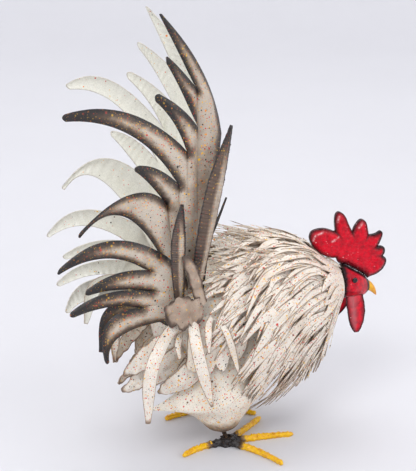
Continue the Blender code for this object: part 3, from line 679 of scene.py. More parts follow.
WIRE_FINISH = MottledPaint(
    "wire_finish", (0.022, 0.018, 0.016, 1), (0.09, 0.055, 0.035, 1), (0.01, 0.01, 0.01, 1), metallic=0.6)
EYE_FINISH = MottledPaint(
    "eye_finish", (0.006, 0.006, 0.007, 1), (0.012, 0.011, 0.012, 1), (0.004, 0.004, 0.004, 1), roughness=0.1,
    bump=0.02)


HACKLE_COATS = (STRIP_PAINT, LEAF_PAINT, RIM_PAINT)


class Palette:
    """The finishes made so far."""

    def __init__(self) -> None:
        """Starts with none."""
        self._made: dict[str, bpy.types.Material] = {}

    def get(self, coat: Coat) -> bpy.types.Material:
        """The material of a finish, made on first use."""
        if coat.name not in self._made:
            self._made[coat.name] = coat.make()
        return self._made[coat.name]


def plain_values(_point: Vector) -> Values:
    """What the paint reads where there is no cut edge near."""
    return {"margin": FAR_FROM_EDGE, "reach": 0.0, "tone": 0.5}


@dataclass
class Workshop:
    """What every sub-assembly needs: the form, the finishes and a way to hand in its pieces."""

    form: BirdForm
    palette: Palette

    def show(self, name: str, mesh: Mesh) -> Piece:
        """An object of the mesh in the scene."""
        made = bpy.data.objects.new(name, mesh)
        bpy.context.scene.collection.objects.link(made)
        return made

    def settle(self, piece: Piece) -> Piece:
        """Applies the piece's modifiers to its mesh."""
        graph = bpy.context.evaluated_depsgraph_get()
        mesh = bpy.data.meshes.new_from_object(piece.evaluated_get(graph))
        piece.modifiers.clear()
        piece.data = mesh
        return piece

    def solid(self, name: str, made: Shape, coat: Coat,
              values: Callable[[Vector], Values] = plain_values) -> Piece:
        """A closed form as a piece.

        Args:
            name: The piece's name.
            made: The form, in millimetres in the bird's frame.
            coat: Its finish.
            values: What the paint reads at a point.

        Returns:
            The piece.
        """
        rows = [values(vert.co) for vert in made.verts]
        for vert in made.verts:
            vert.co = self.form.placed(vert.co)
        mesh = bpy.data.meshes.new(name)
        made.to_mesh(mesh)
        made.free()
        for key in rows[0]:
            layer = mesh.attributes.new(key, "FLOAT", "POINT")
            layer.data.foreach_set("value", [row[key] for row in rows])
        mesh.materials.append(self.palette.get(coat))
        return self.show(name, mesh)

    def grow(self, name: str, source: Mesh, tree: Tree,
             values: dict[str, object]) -> Piece:
        """Grows repeated shapes on a mesh with Geometry Nodes.

        Args:
            name: The piece's name.
            source: The mesh that they grow on.
            tree: The tree that makes them.
            values: The tree's inputs by name.

        Returns:
            The piece, with a plain mesh.
        """
        piece = self.show(name, source)
        change = piece.modifiers.new("growth", "NODES")
        change.node_group = tree
        for item in tree.interface.items_tree:
            if item.in_out == "INPUT" and item.name in values:
                change[item.identifier] = values[item.name]
        return self.settle(piece)

    def hand_in(self, piece: Piece, slot: str, *nodes: str) -> Piece:
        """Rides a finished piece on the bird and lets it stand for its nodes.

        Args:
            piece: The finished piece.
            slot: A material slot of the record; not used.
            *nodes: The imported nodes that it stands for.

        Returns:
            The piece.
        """
        piece.data.shade_smooth()
        piece.data.set_sharp_from_angle(angle=SHARP_ANGLE)
        if nodes:
            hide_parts(*nodes)
        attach(piece, "root")
        log.info("%s: %d faces for %s", piece.name, len(piece.data.polygons), ", ".join(nodes) or "no node")
        return piece


class SheetMesh:
    """An open sheet of rows of points, with the values that the paint reads at each."""

    NAMES = ("margin", "reach", "tone", "across")

    def __init__(self) -> None:
        """Starts an empty sheet."""
        self.mesh = bmesh.new()
        for name in self.NAMES:
            self.mesh.verts.layers.float.new(name)

    def add(self, rows: Sequence[Sequence[tuple]]) -> None:
        """Adds quads between rows of points, each a place and its margin, reach, tone and across."""
        layers = [self.mesh.verts.layers.float[name] for name in self.NAMES]
        grid = []
        for row in rows:
            line = []
            for place, *given in row:
                vert = self.mesh.verts.new(place)
                for layer, value in zip(layers, given):
                    vert[layer] = value
                line.append(vert)
            grid.append(line)
        for low, high in zip(grid, grid[1:]):
            for i in range(len(low) - 1):
                self.mesh.faces.new((low[i], low[i + 1], high[i + 1], high[i]))

    def dent(self, outward: Way, amount: float, spread: float, seed: float) -> None:
        """Moves the sheet in and out by a soft noise, as hand cutting leaves it."""
        for vert in self.mesh.verts:
            spot = vert.co / spread + Vector((seed, -seed, 2 * seed))
            vert.co += outward(vert.co) * (noise.noise(spot) * amount)

    def close(self, shop: Workshop, name: str, outward: Way, side: Side, wall: float,
              coats: Sequence[Coat]) -> Piece:
        """Gives the sheet its wall and its place.

        Args:
            shop: Where the form and the finishes come from.
            name: The piece's name.
            outward: The way out of the sheet at a point.
            side: The side of the bird that it belongs to; the sheet is laid out on the left.
            wall: The wall's thickness.
            coats: Finishes of the outer face, the inner face and the cut edge.

        Returns:
            The piece.
        """
        sheet = self.mesh
        bmesh.ops.remove_doubles(sheet, verts=sheet.verts, dist=MERGE_DISTANCE)
        facing = 0.0
        for face in sheet.faces:
            face.normal_update()
            facing += face.normal.dot(outward(face.calc_center_median())) * face.calc_area()
        if facing < 0:
            bmesh.ops.reverse_faces(sheet, faces=sheet.faces)
        if side is Side.RIGHT:
            for vert in sheet.verts:
                vert.co.y = -vert.co.y
            bmesh.ops.reverse_faces(sheet, faces=sheet.faces)
        for vert in sheet.verts:
            vert.co = shop.form.placed(vert.co)
        mesh = bpy.data.meshes.new(name)
        sheet.to_mesh(mesh)
        sheet.free()
        for coat in coats:
            mesh.materials.append(shop.palette.get(coat))
        piece = shop.show(name, mesh)
        shell = piece.modifiers.new("wall", "SOLIDIFY")
        shell.thickness = wall * MILLIMETRE
        shell.offset = 1.0
        shell.material_offset = 1
        shell.material_offset_rim = 2
        return shop.settle(piece)


Sliver = tuple[Vector, Vector, Vector, float]
Rim = tuple[Vector, Vector, Vector, int]
Leaf = tuple[Vector, Vector, Vector, float]


@dataclass
class SlitSheet:
    """A sheet that is whole at its root and slit into leaves, laid out in rows.

    A rim is a root, a waist, the end of its slit and the row where the slit ends. A leaf is its tip, the
    middles of its front and rear edges and the radius of its tip.
    """

    rims: Sequence[Rim]
    leaves: Sequence[Leaf]
    rows: int
    fineness: int
    cells: int
    crown: float
    palm_crown: float = 0.25
    tip_shoulder: float = 0.8
    tip_roundness: float = 0.88

    def edge(self, rim: Rim, leaf: Leaf, middle: Vector, turn: int) -> list[Vector]:
        """One side of a leaf from its root to its tip."""
        root, waist, slit, slit_row = rim
        tip, front, rear, radius = leaf
        run = (tip - (front + rear) / 2).normalized()
        across = (front - rear).normalized()
        end = tip - run * radius + across * (turn * radius * self.tip_shoulder)
        low_rows = slit_row * self.fineness
        high_rows = (self.rows - slit_row) * self.fineness
        lower = [bow(root, waist, slit, j / low_rows) for j in range(low_rows)]
        return lower + [bow(slit, middle, end, j / high_rows) for j in range(high_rows + 1)]

    def build(self, outward: Way, chance: random.Random) -> SheetMesh:
        """Lays out the open sheet."""
        sheet = SheetMesh()
        last = len(self.leaves) - 1
        for number, (first, second, leaf) in enumerate(zip(self.rims, self.rims[1:], self.leaves)):
            tip, front, rear, radius = leaf
            run = (tip - (front + rear) / 2).normalized()
            sides = (self.edge(first, leaf, front, 1), self.edge(second, leaf, rear, -1))
            open_rows = (0 if number == 0 else first[3] * self.fineness,
                         0 if number == last else second[3] * self.fineness)
            slit_row = max(first[3], second[3]) * self.fineness
            final = len(sides[0]) - 1
            tone = chance.random()
            grid = []
            for j, (a, b) in enumerate(zip(*sides)):
                out = outward((a + b) / 2)
                rise = min(1.0, j / slit_row)
                height = self.crown * (a - b).length * (self.palm_crown + (1 - self.palm_crown) * rise * rise)
                reach = max(0.0, (j - slit_row) / (final - slit_row))
                line = []
                for i in range(self.cells + 1):
                    v = 2 * i / self.cells - 1
                    point = a.lerp(b, i / self.cells) + out * (height * (1 - v * v))
                    if j == final:
                        point += run * (radius * self.tip_roundness * (1 - v * v))
                    gaps = [(point - (side[j] if j >= opened else rim[2])).length
                            for side, rim, opened in zip(sides, (first, second), open_rows)]
                    line.append((point, min(gaps), reach, tone, v))
                grid.append(line)
            sheet.add(grid)
        return sheet


@dataclass
class Feather:
    """A long feather: stops of its middle line, widths by share of its length, crown and facing."""

    stops: Sequence[Row]
    widths: Sequence[Row]
    crown: float
    facing: Row
    rows: int = 40
    cells: int = 10
    ragged: float = 0.0
    tear_rate: float = 14.0
    ridge: float = 0.0
    ridge_width: float = 0.25
    rib: float = 0.0
    ribs: int = 0
    rib_slant: float = 0.4

    def line(self, form: BirdForm) -> list[Vector]:
        """The stops as points, with the first seated on the body."""
        return [form.seat(*self.stops[0])] + [Vector(stop) for stop in self.stops[1:]]

    def build(self, stops: Sequence[Vector], seed: float) -> tuple[SheetMesh, list[Vector]]:
        """Lays out the open sheet.

        Args:
            stops: The stops of the middle line.
            seed: What sets this feather's torn edge and tone apart from the others'.

        Returns:
            The sheet and the points of its front edge.
        """
        out_y, up, ahead = self.facing
        facing = Vector((ahead, out_y, up)).normalized()
        tone = 0.5 + 0.5 * noise.noise(Vector((seed, 0.3, 0)))
        sheet = SheetMesh()
        grid = []
        step = 0.5 / self.rows
        for j in range(self.rows + 1):
            share = j / self.rows
            centre = through(stops, share)
            run = (through(stops, min(share + step, 1)) - through(stops, max(share - step, 0))).normalized()
            across = run.cross(facing).normalized()
            out = across.cross(run)
            half = max(along(self.widths, share)[0], self.widths[-1][1]) / 2
            line = []
            for i in range(self.cells + 1):
                v = 2 * i / self.cells - 1
                torn = self.ragged * noise.noise(Vector((seed, self.tear_rate * share, 3 * v))) * v * v
                lift = 2 * half * self.crown * (1 - v * v)
                lift += self.ridge * max(0.0, 1 - abs(v) / self.ridge_width)
                lift += self.rib * math.sin(2 * math.pi * (self.ribs * share - self.rib_slant * abs(v)))
                point = centre + across * (v * half + math.copysign(torn, v)) + out * lift
                line.append((point, half * (1 - abs(v)), share, tone, v))
            grid.append(line)
        sheet.add(grid)
        return sheet, [row[0][0].copy() for row in grid]


def ring_loft(rings: Sequence[Sequence[Vector]]) -> Shape:
    """A closed form that skins rings of points, with both ends closed."""
    made = bmesh.new()
    loops = [[made.verts.new(point) for point in ring] for ring in rings]
    count = len(loops[0])
    for low, high in zip(loops, loops[1:]):
        for i in range(count):
            k = (i + 1) % count
            made.faces.new((low[i], low[k], high[k], high[i]))
    for loop in (loops[0], loops[-1]):
        middle = made.verts.new(sum((vert.co for vert in loop), Vector()) / count)
        for i in range(count):
            made.faces.new((middle, loop[i], loop[(i + 1) % count]))
    bmesh.ops.recalc_face_normals(made, faces=made.faces)
    return made


def rings_along(stations: Sequence[Row], segments: int, steps: int, dent: float) -> list[list[Vector]]:
    """Rings of a rounded form that runs along the bird.

    Args:
        stations: Place, top, bottom and half width.
        segments: Points in a ring.
        steps: Rings less one, closer together at the ends.
        dent: How far the beaten surface moves in and out.

    Returns:
        The rings.
    """
    rings = []
    for k in range(steps + 1):
        place = stations[0][0] + (stations[-1][0] - stations[0][0]) * (1 - math.cos(math.pi * k / steps)) / 2
        top, bottom, half = along(stations, place)
        ring = []
        for i in range(segments):
            angle = 2 * math.pi * i / segments
            out = Vector((0, math.sin(angle), math.cos(angle)))
            spot = Vector((place, half * out.y, (top + bottom) / 2 + (top - bottom) / 2 * out.z))
            ring.append(spot + out * (dent * (noise.noise(spot / DENT_SPREAD) - 0.5)))
        rings.append(ring)
    return rings


def tube(path: Sequence[Vector], radii: Sequence[float], segments: int, lumps: float,
         seed: float) -> list[list[Vector]]:
    """Rings round a path.

    Args:
        path: The middle points.
        radii: The radius at each.
        segments: Points in a ring.
        lumps: How far the surface stands up or sinks, as a share of the radius.
        seed: What sets this tube's lumps apart.

    Returns:
        The rings.
    """
    rings = []
    for k, (middle, radius) in enumerate(zip(path, radii)):
        run = (path[min(k + 1, len(path) - 1)] - path[max(k - 1, 0)]).normalized()
        level = Vector((0, 0, 1)) if abs(run.z) < 0.9 else Vector((1, 0, 0))
        across = run.cross(level).normalized()
        up = across.cross(run)
        ring = []
        for i in range(segments):
            angle = 2 * math.pi * i / segments
            way = across * math.cos(angle) + up * math.sin(angle)
            spot = middle + way * radius
            swell = 1 + lumps * noise.noise(spot / LUMP_SPREAD + Vector((seed, 0, 0)))
            ring.append(middle + way * (radius * swell))
        rings.append(ring)
    return rings


class Growth:
    """The Geometry Nodes trees that grow beads of weld and thin slivers of sheet."""

    BEAD_TURN = (3, 3, 3)
    LEAST_BEAD = (0.55, 0.55, 0.45)
    LARGEST_BEAD = (1.35, 1.35, 1.0)
    TURN_SEED = 5
    SIZE_SEED = 11
    SLIVER_TIP = 0.12

    @staticmethod
    def _start(name: str, sizes: dict[str, str]) -> tuple[Net, Node, Node]:
        """An empty tree with a geometry in and out and the named inputs."""
        tree = bpy.data.node_groups.new(name, "GeometryNodeTree")
        tree.interface.new_socket("Geometry", in_out="INPUT", socket_type="NodeSocketGeometry")
        for label, kind in sizes.items():
            tree.interface.new_socket(label, in_out="INPUT", socket_type=kind)
        tree.interface.new_socket("Geometry", in_out="OUTPUT", socket_type="NodeSocketGeometry")
        net = Net(tree)
        return net, net.add("NodeGroupInput"), net.add("NodeGroupOutput")

    @staticmethod
    def _finish(net: Net, shape: Socket, given: Node, out: Node) -> None:
        """Makes the instances real and gives them their material."""
        real = net.add("GeometryNodeRealizeInstances", {0: shape})
        coat = net.add("GeometryNodeSetMaterial", {0: real.outputs[0], "Material": given.outputs["Material"]})
        net.join(coat.outputs[0], out.inputs[0])

    @classmethod
    @made_once
    def weld_beads(cls) -> Tree:
        """Round lumps of weld along the edges of a path."""
        net, given, out = cls._start("weld_beads", {
            "Spacing": "NodeSocketFloat", "Size": "NodeSocketFloat", "Spread": "NodeSocketVector",
            "Seed": "NodeSocketInt", "Material": "NodeSocketMaterial"})
        line = net.add("GeometryNodeMeshToCurve", {0: given.outputs["Geometry"]})
        steps = {"Curve": line.outputs[0], "Length": given.outputs["Spacing"]}
        spots = net.add("GeometryNodeResampleCurve", steps, mode="LENGTH")
        spread = given.outputs["Spread"]
        offset = net.chance(net.vector("MULTIPLY", spread, (-1, -1, -1)), spread, given.outputs["Seed"])
        moved = net.add("GeometryNodeSetPosition", {0: spots.outputs[0], "Offset": offset})
        bead = net.add("GeometryNodeMeshIcoSphere", {"Radius": given.outputs["Size"], "Subdivisions": 2})
        turn = net.chance((0, 0, 0), cls.BEAD_TURN, cls.TURN_SEED)
        size = net.chance(cls.LEAST_BEAD, cls.LARGEST_BEAD, cls.SIZE_SEED)
        placed = net.add("GeometryNodeInstanceOnPoints", {
            "Points": moved.outputs[0], "Instance": bead.outputs[0], "Rotation": turn, "Scale": size})
        cls._finish(net, placed.outputs[0], given, out)
        return net.tree

    @classmethod
    @made_once
    def slivers(cls) -> Tree:
        """Thin pointed slivers that stand from points along their aim and bow towards their lean."""
        net, given, out = cls._start("slivers", {
            "Width": "NodeSocketFloat", "Bow": "NodeSocketFloat", "Material": "NodeSocketMaterial"})
        pull = net.add("ShaderNodeCombineXYZ", {0: given.outputs["Bow"], 2: 0.5})
        line = net.add("GeometryNodeCurveQuadraticBezier", {"Resolution": 7, "Start": (0, 0, 0),
                                                            "Middle": pull.outputs[0], "End": (0, 0, 1)})
        share = net.add("GeometryNodeSplineParameter")
        taper = net.sum("MAXIMUM", net.sum("SUBTRACT", 1.0, share.outputs["Factor"]), cls.SLIVER_TIP)
        profile = net.add("GeometryNodeCurvePrimitiveCircle", {"Resolution": 4, "Radius": 0.5})
        blade = net.add("GeometryNodeCurveToMesh", {
            "Curve": line.outputs[0], "Profile Curve": profile.outputs[0], "Scale": taper, "Fill Caps": True})
        sockets = {}
        for name, kind in (("aim", "FLOAT_VECTOR"), ("lean", "FLOAT_VECTOR"), ("span", "FLOAT")):
            read = net.add("GeometryNodeInputNamedAttribute", {"Name": name}, data_type=kind)
            sockets[name] = read.outputs[0]
        stand = net.add("FunctionNodeAlignRotationToVector", {"Vector": sockets["aim"]}, axis="Z")
        turn = net.add("FunctionNodeAlignRotationToVector",
                       {"Rotation": stand.outputs[0], "Vector": sockets["lean"]}, axis="X", pivot_axis="Z")
        size = net.add("ShaderNodeCombineXYZ", {0: given.outputs["Width"], 1: given.outputs["Width"],
                                                2: sockets["span"]})
        placed = net.add("GeometryNodeInstanceOnPoints", {
            "Points": given.outputs["Geometry"], "Instance": blade.outputs[0], "Rotation": turn.outputs[0],
            "Scale": size.outputs[0]})
        cls._finish(net, placed.outputs[0], given, out)
        return net.tree


def path_mesh(name: str, form: BirdForm, paths: Sequence[Sequence[Vector]]) -> Mesh:
    """A mesh of edges along paths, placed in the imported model."""
    points = []
    edges = []
    for path in paths:
        edges += [(len(points) + k, len(points) + k + 1) for k in range(len(path) - 1)]
        points += [form.placed(spot) for spot in path]
    mesh = bpy.data.meshes.new(name)
    mesh.from_pydata(points, edges, [])
    return mesh


@dataclass(frozen=True)
class Beads:
    """Beads of weld along paths: how far apart, their radius, how far they stray and the seed of that."""

    spacing: float
    size: float
    spread: float
    seed: int

    def lay(self, shop: Workshop, name: str, paths: Sequence[Sequence[Vector]], coat: Coat, slot: str,
            turn: int = 0) -> None:
        """Lays the beads and hands them in, with the side's turn added to the seed."""
        piece = shop.grow(name, path_mesh(name, shop.form, paths), Growth.weld_beads(), {
            "Spacing": self.spacing * MILLIMETRE, "Size": self.size * MILLIMETRE,
            "Spread": (self.spread * MILLIMETRE,) * 3, "Seed": self.seed + turn,
            "Material": shop.palette.get(coat)})
        shop.hand_in(piece, slot)


@dataclass
class Trunk:
    """The body shell and the two thighs, beaten from sheet."""

    segments: int = 96
    steps: int = 80
    dent: float = 0.8
    thigh: tuple[Row, ...] = (
        (22, 3, -5, -12, 48, 6.5, 0),
        (27, 13, -5, -23, 48, 13, 0),
        (38, 20, -6, -34, 48.5, 19, 0.1),
        (49, 28, -8, -46, 49, 23, 0.35),
        (57, 32, -10, -66, 50, 26, 0.75),
        (63, 35, -12, -98, 50.5, 28, 0.95),
        (71, 39, -12, -84, 50, 30, 0.9),
        (86, 46, -8, -58, 48, 31, 0.5),
        (102, 53, -4, -45, 45, 30, 0.2),
        (118, 57, 0, -38, 41, 30, 0),
        (133, 54, 4, -30, 36, 27, 0),
    )
    thigh_segments: int = 64
    thigh_steps: int = 56
    thigh_spacing: float = 1.25
    thigh_dent_spread: float = 12.0
    thigh_smooth_foot: Row = (22, 34)
    thigh_spray: float = 0.2

    def build(self, shop: Workshop) -> None:
        """Makes and hands in the body shell and the thighs."""
        rings = rings_along(shop.form.body, self.segments, self.steps, self.dent)
        shop.hand_in(shop.solid("body_shell_look", ring_loft(rings), BODY_PAINT), "white_paint", "body_shell")
        for side in Side:
            thigh = self.build_thigh(side)
            piece = shop.solid(f"{side.label}_thigh_look", thigh, BODY_PAINT, self.thigh_values)
            shop.hand_in(piece, "white_paint", f"{side.label}_thigh")

    def build_thigh(self, side: Side) -> Shape:
        """A thigh as a closed form."""
        rings = []
        for k in range(self.thigh_steps + 1):
            share = k / self.thigh_steps
            up = self.thigh[0][0] + (self.thigh[-1][0] - self.thigh[0][0]) * share**self.thigh_spacing
            front, middle, rear, out, half, sharp = along(self.thigh, up)
            ring = []
            for i in range(self.thigh_segments):
                angle = 2 * math.pi * i / self.thigh_segments
                c, s = math.cos(angle), math.sin(angle)
                x = middle + c * ((front - middle) if c > 0 else (middle - rear))
                waist = 1 - sharp * c * c if c < 0 else 1.0
                spot = Vector((x, out + half * s * waist, up))
                way = Vector((c, s, 0))
                beaten = self.dent * (noise.noise(spot / self.thigh_dent_spread) - 0.5)
                spot += way * (beaten * soft_step(*self.thigh_smooth_foot, up))
                ring.append(Vector((spot.x, side.value * spot.y, spot.z)))
            rings.append(ring)
        return ring_loft(rings)

    def thigh_values(self, point: Vector) -> Values:
        """Brown spray gathers at a thigh's lower tip."""
        return {"margin": self.thigh_spray * (point.z - self.thigh[0][0]), "reach": 0.0, "tone": 0.5}


@dataclass
class Comb:
    """The thick red comb, cut in lobes, with painted shade darkening the folds between them."""

    lobes: tuple[tuple[Row, ...], ...] = (
        ((159, 219.7), (150.7, 220.5), (138.5, 226.6), (128.6, 235.9), (123.6, 244.8), (122.6, 251.4),
         (125.7, 257.7), (134, 260.2), (144.7, 259.7)),
        ((157.3, 254.5), (156, 264.4), (155.9, 273.8), (157.9, 278.9), (161.7, 280.6), (167, 277.6),
         (171, 271.9), (174.7, 263.2)),
        ((180.3, 252.3), (183.3, 259.4), (188, 265.9), (192.7, 267.9), (198, 264.3), (200.5, 256.6)),
        ((202.7, 246.2), (210.7, 246.3), (215.3, 248.3), (219.1, 250.1), (221.7, 246.5), (220.2, 239.7)),
        ((215.4, 228.7), (220, 229.5), (224.4, 227.6), (226, 222.2)),
        ((223.7, 215.7), (226.9, 212.9), (228.4, 207.9), (224.1, 198.5), (215.4, 192), (206.2, 189.6)),
    )
    seat: Row = (162, 203)
    seat_points: int = 12
    cuts: int = 3
    nape_slope: float = 0.6
    thickness: float = 11.0
    voxel: float = 0.85
    heart: Row = (186, 222)
    fold_length: float = 0.42
    fold_depth: float = 1.5
    # Painted highlights: pale strokes on the upper-left lobes, and below how wide, strong and patchy they
    # are.
    glints: tuple = (((127, 246), (129, 253)), ((129, 253), (140, 256)), ((159, 268), (160.5, 275)),
                     ((188, 258), (192, 263)), ((152, 243), (160, 248)))
    fold_width: float = 1.7
    # Painted shade in the folds: how far from a fold the darkening reaches.
    fold_shade_margin: float = 5.5
    glint_width: float = 1.1
    glint_share: float = 0.8
    glint_patch: float = 1.6
    rounding: float = 7.5
    beating: float = 0.35
    beat_spread: float = 4.5
    edge_clear: float = 0.8
    seam_share: float = 0.6
    # Painted shade: the front lobes darken between these places along the bird.
    front: Row = (200, 222)
    front_spray: float = 1.7

    def outline(self, form: BirdForm) -> list[Vector]:
        """The comb's outline, its free edge first."""
        first, last = self.seat
        crown_line = []
        for k in range(self.seat_points):
            place = last + (first - last) * k / (self.seat_points - 1)
            if place > form.head[1][0]:
                up = along(form.head, place)[0]
            else:
                up = form.head[1][1] + self.nape_slope * (form.head[1][0] - place)
            crown_line.append(Vector((place, 0, up + FIT_GAP)))
        edge = []
        ends = [lobe[0] for lobe in self.lobes[1:]] + [(crown_line[0].x, crown_line[0].z)]
        for lobe, end in zip(self.lobes, ends):
            rows = [(k, x, 0, z) for k, (x, z) in enumerate((*lobe, end))]
            edge += [Vector(along(rows, k / self.cuts)) for k in range(len(lobe) * self.cuts)]
        return edge + crown_line

    def build(self, shop: Workshop) -> None:
        """Makes the comb and hands it in."""
        outline = self.outline(shop.form)
        made = self.soft_plate(shop, outline)
        segments = list(zip(outline, outline[1:] + outline[:1]))
        folds = self.folds()
        for vert in made.verts:
            margin, fold = self.measure(vert.co, segments, folds)
            body = 0.5 + 0.5 * soft_step(0, self.rounding, margin)
            beaten = self.beating * noise.noise(vert.co / self.beat_spread)
            away = math.copysign(1.0, vert.co.y)
            vert.co.y = vert.co.y * body + away * min(abs(vert.co.y), 1.0) * (beaten - self.fold_depth * fold)
        crown_line = outline[-self.seat_points:]
        foot = list(zip(crown_line, crown_line[1:]))
        piece = shop.solid("comb_look", made, COMB_ENAMEL,
                           lambda point: self.values(point, segments, folds, foot))
        shop.hand_in(piece, "red_enamel", "comb")

    def soft_plate(self, shop: Workshop, outline: Sequence[Vector]) -> Shape:
        """A plate of the outline, rounded over."""
        plate = bmesh.new()
        front = [plate.verts.new((p.x, -self.thickness / 2, p.z)) for p in outline]
        back = [plate.verts.new((p.x, self.thickness / 2, p.z)) for p in outline]
        count = len(outline)
        plate.faces.new(front)
        plate.faces.new(back[::-1])
        for i in range(count):
            k = (i + 1) % count
            plate.faces.new((front[i], back[i], back[k], front[k]))
        bmesh.ops.recalc_face_normals(plate, faces=plate.faces)
        mesh = bpy.data.meshes.new("comb_plate")
        plate.to_mesh(mesh)
        plate.free()
        rough = shop.show("comb_plate", mesh)
        voxels = rough.modifiers.new("voxels", "REMESH")
        voxels.mode = "VOXEL"
        voxels.voxel_size = self.voxel
        soft = rough.modifiers.new("soft", "SMOOTH")
        soft.factor = 0.5
        soft.iterations = 5
        shop.settle(rough)
        made = bmesh.new()
        made.from_mesh(rough.data)
        bpy.data.objects.remove(rough)
        return made

    def folds(self) -> list[tuple[Vector, Vector]]:
        """The folds that run from each notch towards the comb's heart."""
        heart = Vector((self.heart[0], 0, self.heart[1]))
        starts = [Vector((lobe[0][0], 0, lobe[0][1])) for lobe in self.lobes[1:]]
        return [(start, start.lerp(heart, self.fold_length)) for start in starts]

    def measure(self, point: Vector, segments: Sequence[tuple[Vector, Vector]],
                folds: Sequence[tuple[Vector, Vector]]) -> tuple[float, float]:
        """How far a point is from the outline, and how deep in a fold."""
        flat = Vector((point.x, 0, point.z))
        margin = min(off_segment(flat, a, b)[0] for a, b in segments)
        fold = 0.0
        for start, end in folds:
            distance, share = off_segment(flat, start, end)
            fold = max(fold, hill(distance, self.fold_width) * (1 - share))
        return margin, fold

    def values(self, point: Vector, segments: Sequence[tuple[Vector, Vector]],
               folds: Sequence[tuple[Vector, Vector]], foot: Sequence[tuple[Vector, Vector]]) -> Values:
        """Black on the sprayed outer edge and along the head; painted shade in the folds and over the front
        lobes; painted highlights along the glint strokes.
        """
        margin, fold = self.measure(point, segments, folds)
        flat = Vector((point.x, 0, point.z))
        seam = min(off_segment(flat, a, b)[0] for a, b in foot)
        glint = 0.0
        # Painted highlights along the glint strokes.
        for start, end in self.glints:
            distance, _ = off_segment(flat, Vector((start[0], 0, start[1])), Vector((end[0], 0, end[1])))
            glint = max(glint, hill(distance, self.glint_width))
        patchy = min(max(0.5 + noise.noise(point / self.glint_patch), 0.0), 1.0)
        # Painted shade over the front lobes lowers the margin.
        rim = margin + self.edge_clear - self.front_spray * soft_step(*self.front, point.x)
        # Painted shade: darker along the folds.
        fold_shade = self.fold_shade_margin * (1 - fold) + 0.4
        return {"margin": min(rim, fold_shade, self.seam_share * seam), "pale": 0.0,
                "glint": self.glint_share * glint * patchy}


